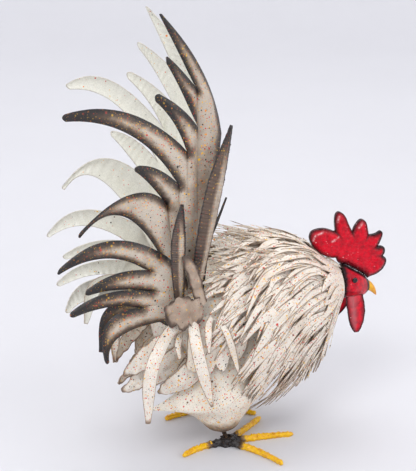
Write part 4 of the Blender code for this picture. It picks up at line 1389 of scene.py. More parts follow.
@dataclass
class Head:
    """The head with its beak, eyes and wattles."""

    beak: tuple[Row, ...] = (
        (203.6, 184.5, 170.5, 6.5),
        (208, 182, 168.5, 5.6),
        (212, 177.5, 165.5, 4.2),
        (215.3, 171.5, 162.8, 2.4),
        (216.8, 166, 161.8, 1.0),
    )
    segments: int = 96
    steps: int = 60
    eye_radius: float = 3.6
    eye_standing: float = 1.6
    eye_ring: float = 4.9
    wattle_stops: dict[Side, tuple[Row, ...]] = field(default_factory=lambda: {
        Side.RIGHT: ((179, 15.5, 171), (182, 18, 147), (183.7, 16, 122)),
        Side.LEFT: ((179, 15.5, 171), (176, 18, 152), (170, 16, 134)),
    })
    wattle_widths: tuple[Row, ...] = ((0, 21), (0.35, 22), (0.68, 18), (0.88, 11), (1, 4))
    wattle_crown: float = 0.10
    core_up: float = 184.0
    ring_height: float = 1.1
    ring_width: float = 1.3
    socket_depth: float = 0.5
    socket_width: float = 3.0
    mouth: tuple[Row, Row] = ((203, 0, 174), (188, 0, 171))
    mouth_depth: float = 0.8
    mouth_width: float = 0.9
    beating: float = 0.5
    beat_spread: float = 6.0
    sinking: float = 0.35
    cheek: Row = (3, 9)
    nape: Row = (166, 170)
    jagged: float = 1.6
    jagged_spread: float = 2.2
    neck_black: float = 168.2
    crown_black: float = 6.8
    beak_black: float = 201.5
    weld_place: float = 166.4
    weld_depth: float = 0.6
    weld_points: int = 48
    comb_half: float = 4.6
    comb_depth: float = 1.4
    neck_beads: Beads = Beads(1.9, 1.15, 0.45, 3)
    comb_beads: Beads = Beads(2.0, 1.0, 0.4, 4)

    def build(self, shop: Workshop) -> None:
        """Makes and hands in the head's pieces."""
        form = shop.form
        skull = ring_loft(rings_along(form.head, self.segments, self.steps, 0.0))
        for vert in skull.verts:
            vert.co += self.relief(vert.co, form)
        piece = shop.solid("head_look", skull, FACE_ENAMEL, lambda point: self.face_values(point, form))
        shop.hand_in(piece, "red_enamel", "head")
        beak = ring_loft(rings_along(self.beak, 40, 24, 0.0))
        shop.hand_in(shop.solid("beak_look", beak, BEAK_PAINT, self.beak_values), "yellow_paint", "beak")
        for side in Side:
            self.build_eye(shop, side)
            self.build_wattle(shop, side)
        self.build_welds(shop)

    def relief(self, point: Vector, form: BirdForm) -> Vector:
        """How far the face stands out or in at a point: the eye's ring, the mouth and soft beating."""
        way = Vector((0, point.y, point.z - self.core_up)).normalized()
        distance = math.hypot(point.x - form.eye_place, point.z - form.eye_up)
        side_on = soft_step(*self.cheek, abs(point.y))
        ring = self.ring_height * hill(distance - self.eye_ring, self.ring_width)
        ring -= self.socket_depth * hill(distance, self.socket_width)
        gap, _ = off_segment(Vector((point.x, 0, point.z)), Vector(self.mouth[0]), Vector(self.mouth[1]))
        mouth = self.mouth_depth * hill(gap, self.mouth_width)
        beaten = self.beating * noise.noise(point / self.beat_spread) - self.sinking
        return way * ((ring - mouth) * side_on + beaten * soft_step(*self.nape, point.x))

    def face_values(self, point: Vector, form: BirdForm) -> Values:
        """Black at the neck, under the comb and round the beak, with a pale painted sheen on the lower front.
        """
        jagged = self.jagged * noise.noise(Vector((0, point.y, point.z)) / self.jagged_spread)
        neck = point.x - self.neck_black + jagged
        top = along(form.head, min(max(point.x, form.head[0][0]), form.head[-1][0]))[0]
        crown = math.hypot(point.y, point.z - top) - self.crown_black
        mouth = 1.1 * (self.beak_black - point.x) + jagged
        distance = math.hypot(point.x - form.eye_place, point.z - form.eye_up)
        # Painted sheen: paler towards the lower front, away from the eye.
        pale = soft_step(180, 196, point.x - 0.5 * (point.z - 186)) * soft_step(5.5, 9, distance)
        return {"margin": max(min(neck, crown, mouth), 0.0), "pale": 0.34 * pale, "glint": 0.0}

    @staticmethod
    def beak_values(point: Vector) -> Values:
        """Dirt gathers at the root of the beak."""
        return {"dirt": 0.75 * (1 - soft_step(203.6, 206, point.x))}

    def build_eye(self, shop: Workshop, side: Side) -> None:
        """An eye: a flat glossy dome."""
        form = shop.form
        top, bottom, half = along(form.head, form.eye_place)
        lift = (form.eye_up - (top + bottom) / 2) / ((top - bottom) / 2)
        cheek = half * math.sqrt(1 - lift * lift)
        eye = bmesh.new()
        bmesh.ops.create_uvsphere(eye, u_segments=32, v_segments=20, radius=self.eye_radius)
        bmesh.ops.scale(eye, verts=eye.verts, vec=(1, self.eye_standing / self.eye_radius, 1))
        out = cheek + FIT_GAP + self.eye_standing
        bmesh.ops.translate(eye, verts=eye.verts, vec=(form.eye_place, side.value * out, form.eye_up))
        piece = shop.solid(f"{side.label}_eye_look", eye, EYE_FINISH, lambda _point: {"dirt": 0.0})
        shop.hand_in(piece, "black_gloss", f"{side.label}_eye")

    def build_wattle(self, shop: Workshop, side: Side) -> None:
        """A wattle: a thick beaten leaf of metal."""
        stops = [Vector(stop) for stop in self.wattle_stops[side]]
        leaf = Feather(stops, self.wattle_widths, self.wattle_crown, (1, 0, 0), rows=36, cells=14, ragged=0.8)
        sheet, _ = leaf.build(stops, 3.1 * side.value)
        sheet.dent(sideways, 1.0, 7.0, 2.0 + side.value)
        coats = (FACE_ENAMEL, FACE_ENAMEL, FACE_ENAMEL)
        piece = sheet.close(shop, f"{side.label}_wattle_look", sideways, side, WATTLE_WALL, coats)
        mesh = piece.data
        reach = [item.value for item in mesh.attributes["reach"].data]
        across = [item.value for item in mesh.attributes["across"].data]
        # Painted sheen: a pale band a little off the wattle's middle, and a paler root.
        sheen_shares = [0.75 * hill(v + 0.25 + 0.3 * r, 0.35) + 0.2 * (1 - soft_step(0.0, 0.3, r))
                  for r, v in zip(reach, across)]
        mesh.attributes.new("pale", "FLOAT", "POINT").data.foreach_set("value", sheen_shares)
        shop.hand_in(piece, "red_enamel", f"{side.label}_wattle")

    def build_welds(self, shop: Workshop) -> None:
        """Beads of black weld round the neck and along the foot of the comb."""
        form = shop.form
        top, bottom, half = along(form.head, self.weld_place)
        wide = half - self.weld_depth
        high = (top - bottom) / 2 - self.weld_depth
        ring = []
        for i in range(self.weld_points + 1):
            angle = 2 * math.pi * i / self.weld_points
            up = (top + bottom) / 2 + high * math.cos(angle)
            ring.append(Vector((self.weld_place, wide * math.sin(angle), up)))
        seams = []
        for turn in (-1, 1):
            seams.append([Vector((place, turn * self.comb_half, along(form.head, place)[0] - self.comb_depth))
                          for place in range(168, 203, 2)])
        self.neck_beads.lay(shop, "neck_weld", [ring], WIRE_FINISH, "black_wire")
        self.comb_beads.lay(shop, "comb_weld", seams, WIRE_FINISH, "black_wire")


@dataclass
class Feet:
    """The welded feet with their toes, and the twisted wires that tie them to the thighs."""

    hubs: dict[Side, Row] = field(default_factory=lambda: {Side.RIGHT: (0, 48), Side.LEFT: (4, 57)})
    toes: dict[Side, tuple] = field(default_factory=lambda: {
        Side.RIGHT: (
            ((46, 45), (90, 48)), ((30, 79), (51, 120)), ((30, 22), (64, -9)), ((-32, 51), (-61, 66))),
        Side.LEFT: (
            ((50, 69), (93, 84)), ((30, 98), (47, 138)), ((38, 40), (62, 21)), ((-30, 48), (-57, 39))),
    })
    root_radius: float = 4.9
    tip_radius: float = 3.2
    grinding: float = 0.15
    arch: float = 2.0
    arch_share: float = 0.3
    rings: int = 64
    segments: int = 22
    lumps: float = 0.42
    dark_reach: float = 34.0
    thigh_end: Row = (-4.5, 48, 22)
    ground: float = 0.001
    blunt_from: float = 0.93
    crest_turns: Row = (0.5, 1.5, 2.4)
    crest_out: float = 0.62
    crest_up: float = 0.72
    toe_beads: Beads = Beads(6.5, 1.7, 0.7, 21)
    hub_rings: int = 12
    hub_segments: int = 30
    hub_foot: float = 0.4
    hub_step: float = 0.9
    hub_radius: float = 8.4
    hub_taper: float = 2.9
    hub_top: float = 3.4
    hub_lumps: float = 0.22
    hub_beads: Beads = Beads(2.3, 1.5, 0.6, 41)
    strands: int = 3
    strand_rings: int = 28
    strand_segments: int = 10
    strand_lumps: float = 0.25
    strand_radius: float = 1.35
    strand_swing: float = 1.75
    strand_turns: float = 1.6
    wire_foot: float = 10.6
    wire_top: float = 1.6
    loops: int = 3
    loop_points: int = 24
    loop_radii: Row = (6.4, 5.8)
    loop_foot: float = 6.2
    loop_rise: float = 2.2

    def toe_path(self, side: Side, bend: Row, tip: Row) -> tuple[list[Vector], list[float]]:
        """The middle points of a toe, with their radii."""
        hub = Vector((self.hubs[side][0], side.value * self.hubs[side][1]))
        middle = Vector((bend[0], side.value * bend[1]))
        end = Vector((tip[0], side.value * tip[1]))
        path = []
        radii = []
        for k in range(self.rings + 1):
            share = k / self.rings
            spot = bow(hub, middle, end, share)
            radius = self.root_radius + (self.tip_radius - self.root_radius) * share
            arch = self.arch * max(0.0, 1 - share / self.arch_share) ** 2
            path.append(Vector((spot.x, spot.y, radius * (1 - self.grinding) + arch)))
            blunt = max(0.0, (share - self.blunt_from) / (1 - self.blunt_from))
            radii.append(radius * math.sqrt(max(0.02, 1 - blunt * blunt)))
        return path, radii

    def build(self, shop: Workshop) -> None:
        """Makes and hands in the feet and the wires."""
        for side in Side:
            made = bmesh.new()
            crests = []
            for number, (bend, tip) in enumerate(self.toes[side]):
                path, radii = self.toe_path(side, bend, tip)
                rings = tube(path, radii, self.segments, self.lumps, 7.0 * number + side.value)
                self.merge(made, ring_loft(rings))
                for turn in self.crest_turns:
                    crest = Vector((0, self.crest_out * math.cos(turn), self.crest_up * math.sin(turn)))
                    crests.append([spot + crest * radius for spot, radius in zip(path[20:-5], radii[20:-5])])
            self.merge(made, self.build_hub(side))
            for vert in made.verts:
                vert.co.z = max(vert.co.z, self.ground)
            piece = shop.solid(f"{side.label}_foot_look", made, TOE_PAINT, self.dirt_values(side))
            shop.hand_in(piece, "yellow_paint", f"{side.label}_foot")
            name = f"{side.label}_toe_beads"
            self.toe_beads.lay(shop, name, crests, TOE_PAINT, "yellow_paint", side.value)
            self.build_ankle(shop, side)

    @staticmethod
    def merge(whole: Shape, part: Shape) -> None:
        """Adds one form to another."""
        mesh = bpy.data.meshes.new("part")
        part.to_mesh(mesh)
        part.free()
        whole.from_mesh(mesh)
        bpy.data.meshes.remove(mesh)

    def build_hub(self, side: Side) -> Shape:
        """The lump of weld where the toes meet."""
        x, out = self.hubs[side]
        count = self.hub_rings
        path = [Vector((x, side.value * out, self.hub_foot + self.hub_step * k)) for k in range(count + 1)]
        radii = [self.hub_radius - self.hub_taper * (k / count) ** 1.4 for k in range(count)]
        return ring_loft(tube(path, (*radii, self.hub_top), self.hub_segments, self.hub_lumps, 31.0))

    def dirt_values(self, side: Side) -> Callable[[Vector], Values]:
        """Soot darkens the toes near the hub."""
        x, out = self.hubs[side]
        hub = Vector((x, side.value * out, 4))
        return lambda point: {"dirt": 1.3 * (1 - soft_step(7, self.dark_reach, (point - hub).length))}

    def build_ankle(self, shop: Workshop, side: Side) -> None:
        """Three twisted strands between a hub and its thigh, with loose turns round the hub."""
        x, out = self.hubs[side]
        low = Vector((x, side.value * out, self.wire_foot))
        high = Vector((self.thigh_end[0], side.value * self.thigh_end[1], self.thigh_end[2] + self.wire_top))
        made = bmesh.new()
        for strand in range(self.strands):
            path = []
            for k in range(self.strand_rings):
                share = k / (self.strand_rings - 1)
                angle = 2 * math.pi * (self.strand_turns * share + strand / self.strands)
                spot = low.lerp(high, share)
                path.append(spot + Vector((math.cos(angle), math.sin(angle), 0)) * self.strand_swing)
            radii = [self.strand_radius] * len(path)
            rings = tube(path, radii, self.strand_segments, self.strand_lumps, 3.0 * strand)
            self.merge(made, ring_loft(rings))
        piece = shop.solid(f"{side.label}_ankle_look", made, WIRE_FINISH, lambda _point: {"dirt": 0.2})
        shop.hand_in(piece, "black_wire", f"{side.label}_ankle_wire")
        turns = []
        long, short = self.loop_radii
        for turn in range(self.loops):
            loop = []
            up = self.loop_foot + self.loop_rise * turn
            for k in range(self.loop_points + 1):
                angle = 2 * math.pi * k / self.loop_points
                spot = Vector((long * math.cos(angle), short * math.sin(angle), up))
                loop.append(spot + Vector((x, side.value * out, math.sin(angle + turn))))
            turns.append(loop)
        name = f"{side.label}_hub_weld"
        self.hub_beads.lay(shop, name, turns, WIRE_FINISH, "black_wire", side.value)


@dataclass
class Cape:
    """One hackle cape: its places along the bird, how far it wraps, its strips and how far it stands off."""

    number: int
    root: float
    slit: float
    tip: float
    low_tip: float
    reach: float
    strips: int
    off: Row
    sweep: float = math.radians(28)
    hang: float = 26.0
    scatter: float = 8.0
    share: float = 0.47
    sway: float = 0.45
    lift: float = 3.0
    twist: float = 1.2
    slit_scatter: float = 5.0
    strip_spread: Row = (0.8, 1.15)
    middle_share: float = 0.4
    overlap: float = 0.9
    tip_radius: float = 0.9
    rows: int = 13
    slit_row: int = 3
    cells: int = 4
    crown: float = 0.13

    def point(self, form: BirdForm, place: float, angle: float, tip_place: float,
              lift: float = 0.0) -> Vector:
        """A point of the cape, off the shell and hanging free below the breast."""
        share = (self.root - place) / (self.root - self.tip)
        angle += self.sweep * share * share * math.sin(angle)
        free = min(max((self.slit - place) / (self.slit - tip_place), 0.0), 1.0)
        low, high = self.off
        point = form.skin(place, angle, low + (high - low) * share + lift)
        point.z -= self.hang * free**1.5 * max(0.0, -math.cos(angle))
        return point

    def build(self, shop: Workshop, chance: random.Random) -> None:
        """Makes the cape and hands it in."""
        form = shop.form
        reach = math.radians(self.reach)
        step = 2 * reach / self.strips
        middle_place = (self.root + self.slit) / 2
        rims = []
        for i in range(self.strips + 1):
            angle = i * step - reach
            slit = self.slit + chance.uniform(-self.slit_scatter, self.slit_scatter)
            rims.append((
                self.point(form, self.root, angle, self.tip),
                self.point(form, middle_place, angle, self.tip),
                self.point(form, slit, angle, self.tip),
                self.slit_row,
            ))
        leaves = []
        for i in range(self.strips):
            angle = (i + 0.5) * step - reach
            low = (1 - math.cos(angle)) / 2
            tip_place = self.tip + (self.low_tip - self.tip) * low + chance.uniform(-1, 1) * self.scatter
            half = self.share * step * chance.uniform(*self.strip_spread)
            middle = (self.slit + tip_place) / 2
            tip_angle = angle + chance.uniform(-1, 1) * self.sway * step
            mid_angle = angle + (tip_angle - angle) * self.middle_share
            lift = chance.uniform(0, self.lift)
            mid_lift = self.middle_share * lift + (self.overlap if i % 2 else 0.0)
            twist = chance.uniform(-1, 1) * self.twist
            leaves.append((
                self.point(form, tip_place, tip_angle, tip_place, lift),
                self.point(form, middle, mid_angle - half, tip_place, mid_lift + twist),
                self.point(form, middle, mid_angle + half, tip_place, mid_lift - twist),
                self.tip_radius,
            ))
        core = Vector((0, 0, sum(along(form.body, self.slit)[:2]) / 2))

        def outward(point: Vector) -> Vector:
            """The way out from the cape's core."""
            return (Vector((0, point.y, point.z)) - core).normalized()

        sheet = SlitSheet(rims, leaves, self.rows, 1, self.cells, self.crown).build(outward, chance)
        name = f"hackle_cape_{self.number}"
        piece = sheet.close(shop, f"{name}_look", outward, Side.LEFT, SHEET_WALL, HACKLE_COATS)
        shop.hand_in(piece, "white_paint", name)


@dataclass(frozen=True)
class StripKind:
    """A kind of loose strip: how many, and the spans that its sizes are drawn from."""

    count: int
    root: Row
    length: Row
    angle: Row
    turn: float
    width: Row
    off: float


@dataclass(frozen=True)
class SliverKind:
    """A kind of sliver: how many, and the spans that its root, turn, aim and length are drawn from."""

    count: int
    place: Row
    turn: Row
    aim: Row
    length: Row
    off: float


@dataclass
class Hackles:
    """The four capes round the neck, and the loose strips and slivers that stand between their strips."""

    capes: tuple[Cape, ...] = (
        Cape(1, 102, 74, -16, 8, 72, 26, (1.8, 10.5)),
        Cape(2, 128, 106, 30, 76, 150, 46, (4.0, 12.5)),
        Cape(3, 149, 134, 80, 106, 165, 40, (6.2, 12.5)),
        Cape(4, 162, 153, 121, 134, 178, 30, (8.6, 13.2)),
    )
    back: SliverKind = SliverKind(80, (0, 116), (-0.75, 0.75), (0.12, 0.5), (26, 58), 13)
    breast: SliverKind = SliverKind(70, (92, 152), (-1.15, 1.15), (-0.75, -0.1), (18, 40), 10)
    flank: SliverKind = SliverKind(60, (20, 148), (0.8, 2.3), (0.06, 0.25), (24, 62), 14)
    nape: SliverKind = SliverKind(34, (152, 163), (-9, 9), (0.30, 0.78), (16, 32), 0)
    nape_up: Row = (204, 210)
    pale_width: float = 1.5
    dark_width: float = 1.1
    dark_every: int = 7
    sliver_bow: float = 2.4
    sliver_margin: Row = (1.2, 3.4)
    strip_kinds: tuple[StripKind, ...] = (
        StripKind(120, (104, 152), (52, 96), (0.1, 2.95), 0.42, (4.6, 9.0), 13.4),
        StripKind(54, (60, 104), (42, 66), (0.1, 1.5), 0.55, (5.0, 9.0), 13.6),
        StripKind(30, (70, 114), (55, 82), (1.15, 1.95), 0.50, (9.0, 14.0), 14.4),
        StripKind(40, (6, 46), (34, 52), (0.45, 1.35), 0.50, (5.0, 9.5), 9.0),
    )
    strip_widths: tuple[Row, ...] = ((0, 0.55), (0.25, 0.95), (0.5, 1.0), (0.8, 0.62), (1, 0.10))
    strip_rows: int = 22
    strip_crown: float = 0.13
    strip_twist: float = 0.125
    strip_hang: float = 22.0
    strip_lift: float = 2.6
    strip_root: float = 0.12
    strip_sinking: float = 3.0
    strip_layers: float = 1.2
    neck_up: float = 165.0

    def build(self, shop: Workshop) -> None:
        """Makes and hands in the capes, the strips and the slivers."""
        chance = random.Random(11)
        for cape in self.capes:
            cape.build(shop, chance)
        self.build_strips(shop, chance)
        rows = self.sliver_rows(shop.form, chance)
        pale = [row for number, row in enumerate(rows) if number % self.dark_every]
        self.grow(shop, "pale_slivers", pale, LEAF_PAINT, self.pale_width)
        self.grow(shop, "dark_slivers", rows[::self.dark_every], SCRAP_PAINT, self.dark_width)

    def sliver_rows(self, form: BirdForm, chance: random.Random) -> list[Sliver]:
        """The root, aim, lean and length of each sliver."""
        up = Vector((0, 0, 1))
        rows = []
        kind = self.back
        for _ in range(kind.count):
            place = chance.uniform(*kind.place)
            angle = chance.uniform(*kind.turn)
            aim = Vector((-1, 0.25 * math.sin(angle), chance.uniform(*kind.aim)))
            rows.append((form.skin(place, angle, kind.off), aim, up, chance.uniform(*kind.length)))
        kind = self.breast
        for _ in range(kind.count):
            place = chance.uniform(*kind.place)
            angle = math.pi + chance.uniform(*kind.turn)
            aim = Vector((chance.uniform(*kind.aim), 0.3 * math.sin(angle), -1))
            root = form.skin(place, angle, kind.off)
            rows.append((root, aim, Vector((1, 0, 0)), chance.uniform(*kind.length)))
        kind = self.flank
        outward, sinking = kind.aim
        for _ in range(kind.count):
            place = chance.uniform(*kind.place)
            angle = chance.uniform(*kind.turn) * chance.choice((-1, 1))
            root = form.skin(place, angle, kind.off)
            ahead = form.skin(place - 8, angle + 0.05 * math.sin(angle), kind.off + 0.5)
            out = Vector((0, math.sin(angle), math.cos(angle)))
            aim = (ahead - root).normalized() - up * (sinking * (1 - math.cos(angle))) + out * outward
            rows.append((root, aim, out, chance.uniform(*kind.length)))
        kind = self.nape
        for _ in range(kind.count):
            root = Vector([chance.uniform(*span) for span in (kind.place, kind.turn, self.nape_up)])
            aim = Vector((-1, 0.02 * root.y, chance.uniform(*kind.aim)))
            rows.append((root, aim, up, chance.uniform(*kind.length)))
        return rows

    def build_strips(self, shop: Workshop, chance: random.Random) -> None:
        """Long narrow strips that flow from the neck over the capes."""
        form = shop.form
        sheet = SheetMesh()
        for kind in self.strip_kinds:
            for _ in range(kind.count):
                start = chance.uniform(*kind.angle) * chance.choice((-1, 1))
                turn = kind.turn * math.sin(start) + chance.uniform(-0.10, 0.10)
                size = (chance.uniform(*kind.root), chance.uniform(*kind.length), chance.uniform(*kind.width))
                stand = kind.off + chance.uniform(0.0, self.strip_layers)
                sheet.add(self.strip(form, size, (start, turn), stand, chance.uniform(0, 6), chance.random()))

        def outward(point: Vector) -> Vector:
            """The way out from the middle of the neck."""
            return Vector((0, point.y, point.z - self.neck_up)).normalized()

        piece = sheet.close(shop, "hackle_strips", outward, Side.LEFT, STRIP_WALL, HACKLE_COATS)
        shop.hand_in(piece, "white_paint")

    def strip(self, form: BirdForm, size: Row, way: Row, stand: float, wave: float,
              tone: float) -> list[list[tuple]]:
        """The rows of points of one strip that lies along the bird.

        Args:
            form: The bird's form.
            size: The place of its root along the bird, how far it runs back and its width at its middle.
            way: The angle of its root round the neck, and how far it turns on its way.
            stand: How far it stands off the shell.
            wave: What sets its bends apart.
            tone: Its tone of paint.

        Returns:
            The rows.
        """
        root, length, widest = size
        start, turn = way

        def centre(share: float) -> Vector:
            """A point of the middle line."""
            angle = start + turn * share * share + 0.03 * math.sin(wave + 5 * share)
            off = stand + self.strip_lift * share + 0.5 * math.sin(wave + 7 * share)
            off -= self.strip_sinking * max(0.0, 1 - share / self.strip_root)
            point = form.skin(root - length * share, angle, off)
            point.z -= self.strip_hang * share**1.6 * max(0.0, -math.cos(angle))
            return point

        grid = []
        for k in range(self.strip_rows + 1):
            share = k / self.strip_rows
            middle = centre(share)
            run = (centre(min(share + 0.02, 1)) - centre(max(share - 0.02, 0))).normalized()
            out = Vector((0, middle.y, middle.z - self.neck_up)).normalized()
            across = run.cross(out).normalized()
            half = 0.5 * widest * along(self.strip_widths, share)[0]
            twist = self.strip_twist * math.sin(wave + 4 * share)
            line = []
            for v in (-1.0, -0.5, 0.0, 0.5, 1.0):
                rise = self.strip_crown * half * (1 - v * v) + twist * v * half
                line.append((middle + across * (v * half) + out * rise, half * (1 - abs(v)), share, tone, v))
            grid.append(line)
        return grid

    def grow(self, shop: Workshop, name: str, rows: Sequence[Sliver], coat: Coat, width: float) -> None:
        """Grows slivers from rows of root, aim, lean and length, and hands them in."""
        mesh = bpy.data.meshes.new(name)
        mesh.from_pydata([shop.form.placed(root) for root, _, _, _ in rows], [], [])
        for label, column in (("aim", 1), ("lean", 2)):
            layer = mesh.attributes.new(label, "FLOAT_VECTOR", "POINT")
            layer.data.foreach_set("vector", [value for row in rows for value in row[column].normalized()])
        tones = random.Random(len(rows))
        values = {
            "span": [row[3] * MILLIMETRE for row in rows],
            "margin": [tones.uniform(*self.sliver_margin) for _ in rows],
            "tone": [tones.random() for _ in rows],
        }
        for label, given in values.items():
            mesh.attributes.new(label, "FLOAT", "POINT").data.foreach_set("value", given)
        piece = shop.grow(name, mesh, Growth.slivers(), {
            "Width": width * MILLIMETRE, "Bow": self.sliver_bow, "Material": shop.palette.get(coat)})
        shop.hand_in(piece, "white_paint")


def seated(form: BirdForm, rims: Sequence[tuple], leaves: Sequence[tuple]) -> tuple[list[Rim], list[Leaf]]:
    """Rims and leaves of a side sheet as points, with their roots on the body."""
    placed = [(form.seat(*root), Vector(waist), Vector(slit), row) for root, waist, slit, row in rims]
    cut_out = [(Vector(tip), Vector(front), Vector(rear), radius) for tip, front, rear, radius in leaves]
    return placed, cut_out


@dataclass
class Tail:
    """The two fans of tail feathers on each side."""

    rows: int = 9
    fineness: int = 4
    cells: int = 12
    crown: float = 0.20
    denting: float = 0.8
    dent_spread: float = 16.0
    upper_rims: tuple = (
        ((-28, 212, 0), (-12, 36, 330), (-3, 30, 402), 5),
        ((-34, 211, 0), (-36, 42, 330), (-37, 45, 461), 6),
        ((-40, 209, 0), (-40, 46, 320), (-38, 52, 417), 5),
        ((-46, 207, 0), (-49, 48, 300), (-51, 55, 390), 5),
        ((-52, 204, 0), (-57, 45, 280), (-60, 50, 349), 4),
        ((-59, 202, 0), (-68, 44, 262), (-73, 45, 325), 4),
        ((-65, 198, 0), (-70, 41, 222), (-72, 40, 243), 3),
    )
    upper_leaves: dict[Side, tuple] = field(default_factory=lambda: {
        Side.RIGHT: (
            ((-75, 30, 547), (-26, 33, 476), (-56, 35, 505), 3.5),
            ((-78, 62, 503), (-60, 55, 488), (-58, 55, 464), 4.8),
            ((-91, 63, 461), (-59, 60, 442), (-67, 60, 426), 5.2),
            ((-199, 70, 444), (-122, 65, 442), (-119, 65, 417), 4.4),
            ((-114, 55, 376), (-84, 52, 369), (-96, 52, 355), 4.4),
            ((-183, 60, 300), (-118, 55, 343), (-127, 55, 318), 4.0),
        ),
        Side.LEFT: (
            ((-76, 30, 545), (-26, 33, 476), (-57, 35, 503), 3.5),
            ((-81, 62, 496), (-61, 55, 484), (-60, 55, 461), 4.8),
            ((-94, 63, 460), (-60, 60, 441), (-69, 60, 425), 5.2),
            ((-168, 70, 447), (-112, 65, 450), (-107, 65, 421), 4.4),
            ((-117, 55, 390), (-85, 52, 376), (-97, 52, 361), 4.4),
            ((-179, 60, 322), (-126, 55, 357), (-130, 55, 330), 4.0),
        ),
    })
    lower_rims: tuple = (
        ((-49, 222, 9), (-61, 58, 247), (-76, 52, 262), 3),
        ((-51, 213, 7), (-74, 56, 236), (-99, 52, 247), 4),
        ((-56, 202, 4), (-76, 55, 216), (-97, 52, 221), 4),
        ((-60, 191, 3), (-84, 54, 202), (-109, 52, 200), 4),
        ((-62, 180, 3), (-70, 51, 178), (-77, 48, 179), 3),
    )
    lower_leaves: dict[Side, tuple] = field(default_factory=lambda: {
        Side.RIGHT: (
            ((-209, 60, 258), (-144, 58, 290), (-151, 58, 270), 4.0),
            ((-177, 60, 229), (-139, 57, 248), (-136, 57, 229), 4.0),
            ((-196, 60, 203), (-152, 58, 225), (-144, 58, 209), 4.0),
            ((-153, 56, 135), (-150, 57, 188), (-135, 56, 169), 4.4),
        ),
        Side.LEFT: (
            ((-200, 60, 262), (-148, 58, 292), (-150, 58, 272), 4.0),
            ((-181, 60, 232), (-140, 57, 250), (-137, 57, 231), 4.0),
            ((-190, 60, 196), (-148, 58, 222), (-142, 58, 206), 4.0),
            ((-180, 58, 158), (-156, 57, 196), (-143, 56, 176), 4.4),
        ),
    })

    def build(self, shop: Workshop) -> None:
        """Makes and hands in the four fans."""
        chance = random.Random(23)
        for side in Side:
            for name, rims, leaves in (("tail_upper", self.upper_rims, self.upper_leaves),
                                       ("tail_lower", self.lower_rims, self.lower_leaves)):
                placed, cut_out = seated(shop.form, rims, leaves[side])
                fan = SlitSheet(placed, cut_out, self.rows, self.fineness, self.cells, self.crown)
                sheet = fan.build(sideways, chance)
                sheet.dent(sideways, self.denting, self.dent_spread, chance.uniform(0, 9))
                node = f"{side.label}_{name}"
                piece = sheet.close(shop, f"{node}_look", sideways, side, SHEET_WALL,
                                    (TAIL_PAINT, INNER_PAINT, TAIL_RIM))
                shop.hand_in(piece, "brown_edged_paint", node)


class Cut(Enum):
    """How a loose feather is cut and finished."""

    LANCE = "lance"
    SICKLE = "sickle"
    STRIP = "strip"
    LEAF = "leaf"
    SCRAP = "scrap"


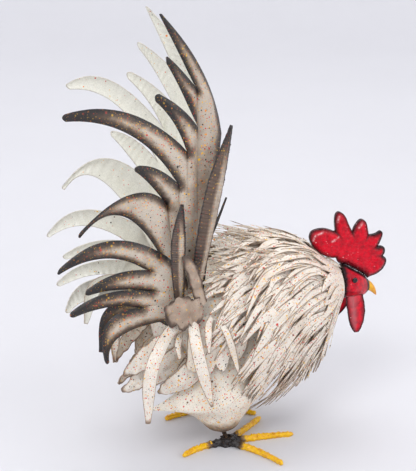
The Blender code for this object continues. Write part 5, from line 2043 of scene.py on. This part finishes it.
@dataclass
class Plumage:
    """The loose feathers of each side and the scalloped wing sheet."""

    feathers: dict[str, tuple[Cut, Feather]] = field(default_factory=lambda: {
        "sickle_long": (Cut.LANCE, Feather(
            ((-40, 216, 6), (-30, 58, 290), (-18, 56, 345), (5, 46, 415)),
            ((0, 15), (0.35, 22), (0.65, 22), (0.85, 13), (1, 2.4)), 0.22, (1, 0, 0.35), rows=90, cells=14,
            ragged=1.2, ridge=1.1, rib=0.22, ribs=30)),
        "sickle_small": (Cut.LANCE, Feather(
            ((-62, 205, 11), (-66, 68, 250), (-65, 66, 285), (-59, 60, 328)),
            ((0, 10), (0.35, 15), (0.65, 16), (0.85, 9), (1, 2.4)), 0.20, (1, 0, 0), rows=60, ragged=0.8,
            ridge=0.8, rib=0.18, ribs=20)),
        "sickle_thin": (Cut.SICKLE, Feather(
            ((-33, 216, 0), (-17, 23, 262), (-4, 21, 292), (7, 20, 319)),
            ((0, 4.5), (0.5, 4.0), (1, 1.6)), 0.15, (1, 0, 0.2), cells=6)),
        "side_feather": (Cut.SICKLE, Feather(
            ((-66, 172, 1), (-100, 43, 196), (-142, 45, 194), (-157, 45, 146)),
            ((0, 12), (0.4, 20), (0.75, 16), (1, 4)), 0.16, (1, 0, 0), rows=60)),
        "tail_curl": (Cut.SCRAP, Feather(
            ((-38, 205, 11), (-44, 70, 226), (-50, 75, 246), (-59, 74, 268)),
            ((0, 11), (0.4, 13), (0.8, 11), (1, 6)), 0.22, (1, 0, 0), ragged=2.0)),
        "tail_scrap": (Cut.SCRAP, Feather(
            ((-38, 196, 10), (-52, 76, 198), (-68, 77, 200), (-84, 72, 198)),
            ((0, 12), (0.3, 25), (0.65, 27), (0.9, 14), (1, 3)), 0.06, (1, 0, 0), ragged=20.0,
            tear_rate=5.0)),
        "saddle_wide": (Cut.STRIP, Feather(
            ((-54, 178, 3), (-78, 70, 172), (-106, 92, 135), (-111, 91, 67)),
            ((0, 11), (0.3, 15), (0.7, 15), (1, 5)), 0.20, (1, 0.2, 0), rows=60)),
        "saddle_long": (Cut.STRIP, Feather(
            ((-42, 190, 4), (-49, 71, 184), (-49, 94, 150), (-32, 95, 80)),
            ((0, 11), (0.3, 14), (0.7, 13), (1, 2.4)), 0.20, (1, 0.2, 0), rows=60)),
        "saddle_rear": (Cut.STRIP, Feather(
            ((-58, 160, 1), (-64, 64, 162), (-69, 75, 154), (-68, 80, 140)),
            ((0, 7), (0.5, 8), (1, 3)), 0.16, (1, 0.2, 0))),
        "saddle_middle": (Cut.STRIP, Feather(
            ((-26, 184, 4), (-31, 76, 180), (-34, 85, 167), (-34, 88, 147)),
            ((0, 7), (0.5, 8), (1, 2.4)), 0.16, (1, 0.2, 0))),
        "saddle_front": (Cut.STRIP, Feather(
            ((-14, 176, 5), (-9, 85, 164), (-3, 88, 142), (4, 88, 114)),
            ((0, 7), (0.5, 7.5), (1, 1.8)), 0.16, (1, 0.2, 0))),
        "flank_leaf": (Cut.LEAF, Feather(
            ((-36, 130, 1), (-52, 69.5, 117), (-72, 67, 102), (-91, 61, 92)),
            ((0, 22), (0.35, 33), (0.7, 27), (1, 3)), 0.12, (1, -0.25, 0), ragged=2.5, ridge=0.6)),
        "rump_leaf_high": (Cut.LEAF, Feather(
            ((-64, 158, 0), (-84, 42, 142), (-106, 36, 122), (-124, 22, 101)),
            ((0, 18), (0.35, 24), (0.7, 20), (1, 3)), 0.12, (1, 0.2, -0.3), ragged=2.5, ridge=0.6)),
        "rump_leaf_middle": (Cut.LEAF, Feather(
            ((-56, 140, 0), (-70, 52, 128), (-82, 48, 112), (-91, 38, 92)),
            ((0, 16), (0.35, 24), (0.7, 21), (1, 4)), 0.12, (1, 0.1, -0.2), ragged=2.5, ridge=0.6)),
        "rump_leaf_low": (Cut.LEAF, Feather(
            ((-66, 126, 0), (-84, 28, 108), (-104, 20, 90), (-124, 10, 74)),
            ((0, 14), (0.35, 24), (0.7, 18), (1, 3)), 0.12, (1, 0.3, -0.3), ragged=2.5, ridge=0.6)),
    })
    wing_rims: tuple = (
        ((22, 190, 0), (20, 79.5, 166), (14, 80, 142), 4),
        ((4, 188, 0), (0, 77.5, 160), (-5, 79.5, 136), 4),
        ((-16, 186, 0), (-20, 75, 158), (-23, 79, 127), 4),
        ((-35, 182, 0), (-38, 70, 156), (-41, 77, 124), 4),
        ((-50, 172, 0), (-54, 64, 156), (-58, 73, 136), 4),
    )
    wing_leaves: tuple = (
        ((2, 80, 127), (9, 80, 134), (-2, 80, 130), 3.0),
        ((-14, 80, 117), (-8, 80, 126), (-20, 80, 121), 3.0),
        ((-34, 79, 112), (-27, 80, 119), (-39, 79, 117), 3.0),
        ((-55, 78, 124), (-47, 79, 121), (-60, 77, 129), 3.0),
    )

    wing_rows: int = 5
    wing_fineness: int = 6
    wing_cells: int = 12
    wing_crown: float = 0.04
    wing_denting: float = 1.4
    wing_dent_spread: float = 10.0
    feather_dent_spread: float = 9.0
    notch_out: float = 0.6
    notch_beads: Beads = Beads(3.0, 1.2, 0.3, 51)

    def build(self, shop: Workshop) -> None:
        """Makes and hands in the loose feathers and the wing sheets."""
        chance = random.Random(31)
        coats = {
            Cut.LANCE: (LANCE_PAINT, LANCE_PAINT, DARK_RIM),
            Cut.SICKLE: (TAIL_PAINT, INNER_PAINT, RIM_PAINT),
            Cut.STRIP: (STRIP_PAINT, LEAF_PAINT, RIM_PAINT),
            Cut.LEAF: (LEAF_PAINT, LEAF_PAINT, RIM_PAINT),
            Cut.SCRAP: (SCRAP_PAINT, SCRAP_PAINT, SCRAP_PAINT),
        }
        slots = {
            Cut.LANCE: "brown_edged_paint",
            Cut.SICKLE: "brown_edged_paint",
            Cut.SCRAP: "bare_brown_metal",
        }
        crumple = {Cut.LEAF: 4.2, Cut.SCRAP: 6.0, Cut.STRIP: 0.8, Cut.LANCE: 0.7, Cut.SICKLE: 0.6}
        for side in Side:
            for name, (cut, feather) in self.feathers.items():
                sheet, edge = feather.build(feather.line(shop.form), chance.uniform(0, 90))
                sheet.dent(sideways, crumple[cut], self.feather_dent_spread, chance.uniform(0, 9))
                node = f"{side.label}_{name}"
                piece = sheet.close(shop, f"{node}_look", sideways, side, SHEET_WALL, coats[cut])
                shop.hand_in(piece, slots.get(cut, "white_paint"), node)
                if cut is Cut.LANCE:
                    path = [Vector((p.x, side.value * (p.y + self.notch_out), p.z)) for p in edge[8:-6]]
                    name = f"{node}_notches"
                    self.notch_beads.lay(shop, name, [path], LANCE_PAINT, "brown_edged_paint")
            placed, cut_out = seated(shop.form, self.wing_rims, self.wing_leaves)
            wing = SlitSheet(placed, cut_out, self.wing_rows, self.wing_fineness, self.wing_cells,
                             self.wing_crown)
            sheet = wing.build(sideways, chance)
            sheet.dent(sideways, self.wing_denting, self.wing_dent_spread, chance.uniform(0, 9))
            node = f"{side.label}_wing_sheet"
            coat = (LEAF_PAINT, LEAF_PAINT, DARK_RIM)
            piece = sheet.close(shop, f"{node}_look", sideways, side, SHEET_WALL, coat)
            shop.hand_in(piece, "white_paint", node)


@dataclass
class Studio:
    """The pale floor that curves up all round with painted light that pales it higher up, the soft lights and
    the camera.
    """

    azimuth: float = -16.0
    elevation: float = 19.0
    distance: float = 1.7
    lens: float = 105.6
    target: Row = (-0.00988596, 0.0, 0.26489058)
    floor_radius: float = 2.6
    rim_radius: float = 1.4
    wall_top: float = 4.0
    floor_steps: int = 12
    floor_segments: int = 96
    paper: tuple[Colour, Colour] = ((0.70, 0.70, 0.73, 1), (0.73, 0.73, 0.76, 1))
    # Painted light: the paper colour high up the rim, paler so that the far wall looks brightly lit.
    high_paper: Colour = (0.80, 0.80, 0.82, 1)
    air: Colour = (0.97, 0.97, 1.0, 1)
    air_strength: float = 0.71
    lights: tuple[tuple[str, Row, float, float], ...] = (
        ("key", (-2.2, -3.2, 3.4), 2.2, 138.0),
        ("fill", (2.9, -2.3, 1.8), 2.4, 40.0),
        ("top", (0.2, 1.2, 3.6), 2.4, 44.0),
    )
    lit_up: float = 0.25
    sensor: float = 36.0

    def build(self, form: BirdForm) -> None:
        """Makes the floor, the lights and the camera."""
        self.build_floor()
        for name, place, size, power in self.lights:
            self.light(name, place, size, power)
        world = bpy.data.worlds.new("studio_air")
        world.use_nodes = True
        air = world.node_tree.nodes["Background"]
        air.inputs[0].default_value = self.air
        air.inputs[1].default_value = self.air_strength
        bpy.context.scene.world = world
        self.build_camera(form)
        bpy.context.scene.view_settings.view_transform = "Standard"

    def build_floor(self) -> None:
        """A round floor with a raised rim, all one smooth surface."""
        steps = self.floor_steps
        profile = [(self.floor_radius * k / steps, 0.0) for k in range(1, steps + 1)]
        for k in range(1, steps + 1):
            angle = math.pi / 2 * k / steps
            profile.append((self.floor_radius + self.rim_radius * math.sin(angle),
                            self.rim_radius * (1 - math.cos(angle))))
        profile.append((self.floor_radius + self.rim_radius, self.wall_top))
        made = bmesh.new()
        rings = []
        count = self.floor_segments
        turns = [2 * math.pi * i / count for i in range(count)]
        for radius, up in profile:
            rings.append([made.verts.new((radius * math.cos(turn), radius * math.sin(turn), up))
                          for turn in turns])
        middle = made.verts.new((0, 0, 0))
        for i in range(count):
            made.faces.new((middle, rings[0][i], rings[0][(i + 1) % count]))
        for low, high in zip(rings, rings[1:]):
            for i in range(count):
                k = (i + 1) % count
                made.faces.new((low[i], high[i], high[k], low[k]))
        mesh = bpy.data.meshes.new("paper_floor")
        made.to_mesh(mesh)
        made.free()
        mesh.shade_smooth()
        floor = bpy.data.objects.new("paper_floor", mesh)
        bpy.context.scene.collection.objects.link(floor)
        paper, net, shader, place = start_material("paper")
        shade = net.mix(net.cloud(place, 3.0), *self.paper)
        up = net.add("ShaderNodeSeparateXYZ", {0: place}).outputs["Z"]
        # Painted light: the paper pales higher up the rim.
        shade = net.mix(net.span(up, 0.1, 2.6), shade, self.high_paper)
        net.join(shade, shader.inputs["Base Color"])
        shader.inputs["Roughness"].default_value = 0.9
        mesh.materials.append(paper)

    def light(self, name: str, place: Row, size: float, power: float) -> None:
        """A square soft light that faces the bird."""
        lamp = bpy.data.lights.new(name, "AREA")
        lamp.size = size
        lamp.energy = power
        stand = bpy.data.objects.new(name, lamp)
        stand.location = place
        toward = Vector(place) - Vector((0, 0, self.lit_up))
        stand.rotation_euler = toward.to_track_quat("Z", "Y").to_euler()
        bpy.context.scene.collection.objects.link(stand)

    def build_camera(self, form: BirdForm) -> None:
        """The camera at the photograph's angle."""
        turn = math.radians(self.azimuth)
        rise = math.radians(self.elevation)
        back = Vector((math.sin(turn) * math.cos(rise), -math.cos(turn) * math.cos(rise), math.sin(rise)))
        lens = bpy.data.cameras.new("camera")
        lens.lens = self.lens
        lens.sensor_width = self.sensor
        camera = bpy.data.objects.new("camera", lens)
        camera.location = Vector(self.target) + form.shift + back * self.distance
        camera.rotation_euler = back.to_track_quat("Z", "Y").to_euler()
        bpy.context.scene.collection.objects.link(camera)
        bpy.context.scene.camera = camera


def main() -> None:
    """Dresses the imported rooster, piece by piece."""
    logging.basicConfig(level=logging.INFO, format="%(name)s: %(message)s")
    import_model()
    form = BirdForm()
    form.find_place()
    shop = Workshop(form, Palette())
    Studio().build(form)
    for assembly in (Trunk(), Comb(), Head(), Feet(), Hackles(), Tail(), Plumage()):
        assembly.build(shop)
        log.info("%s is in place", type(assembly).__name__)
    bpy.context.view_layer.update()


if __name__ == "__main__":
    main()
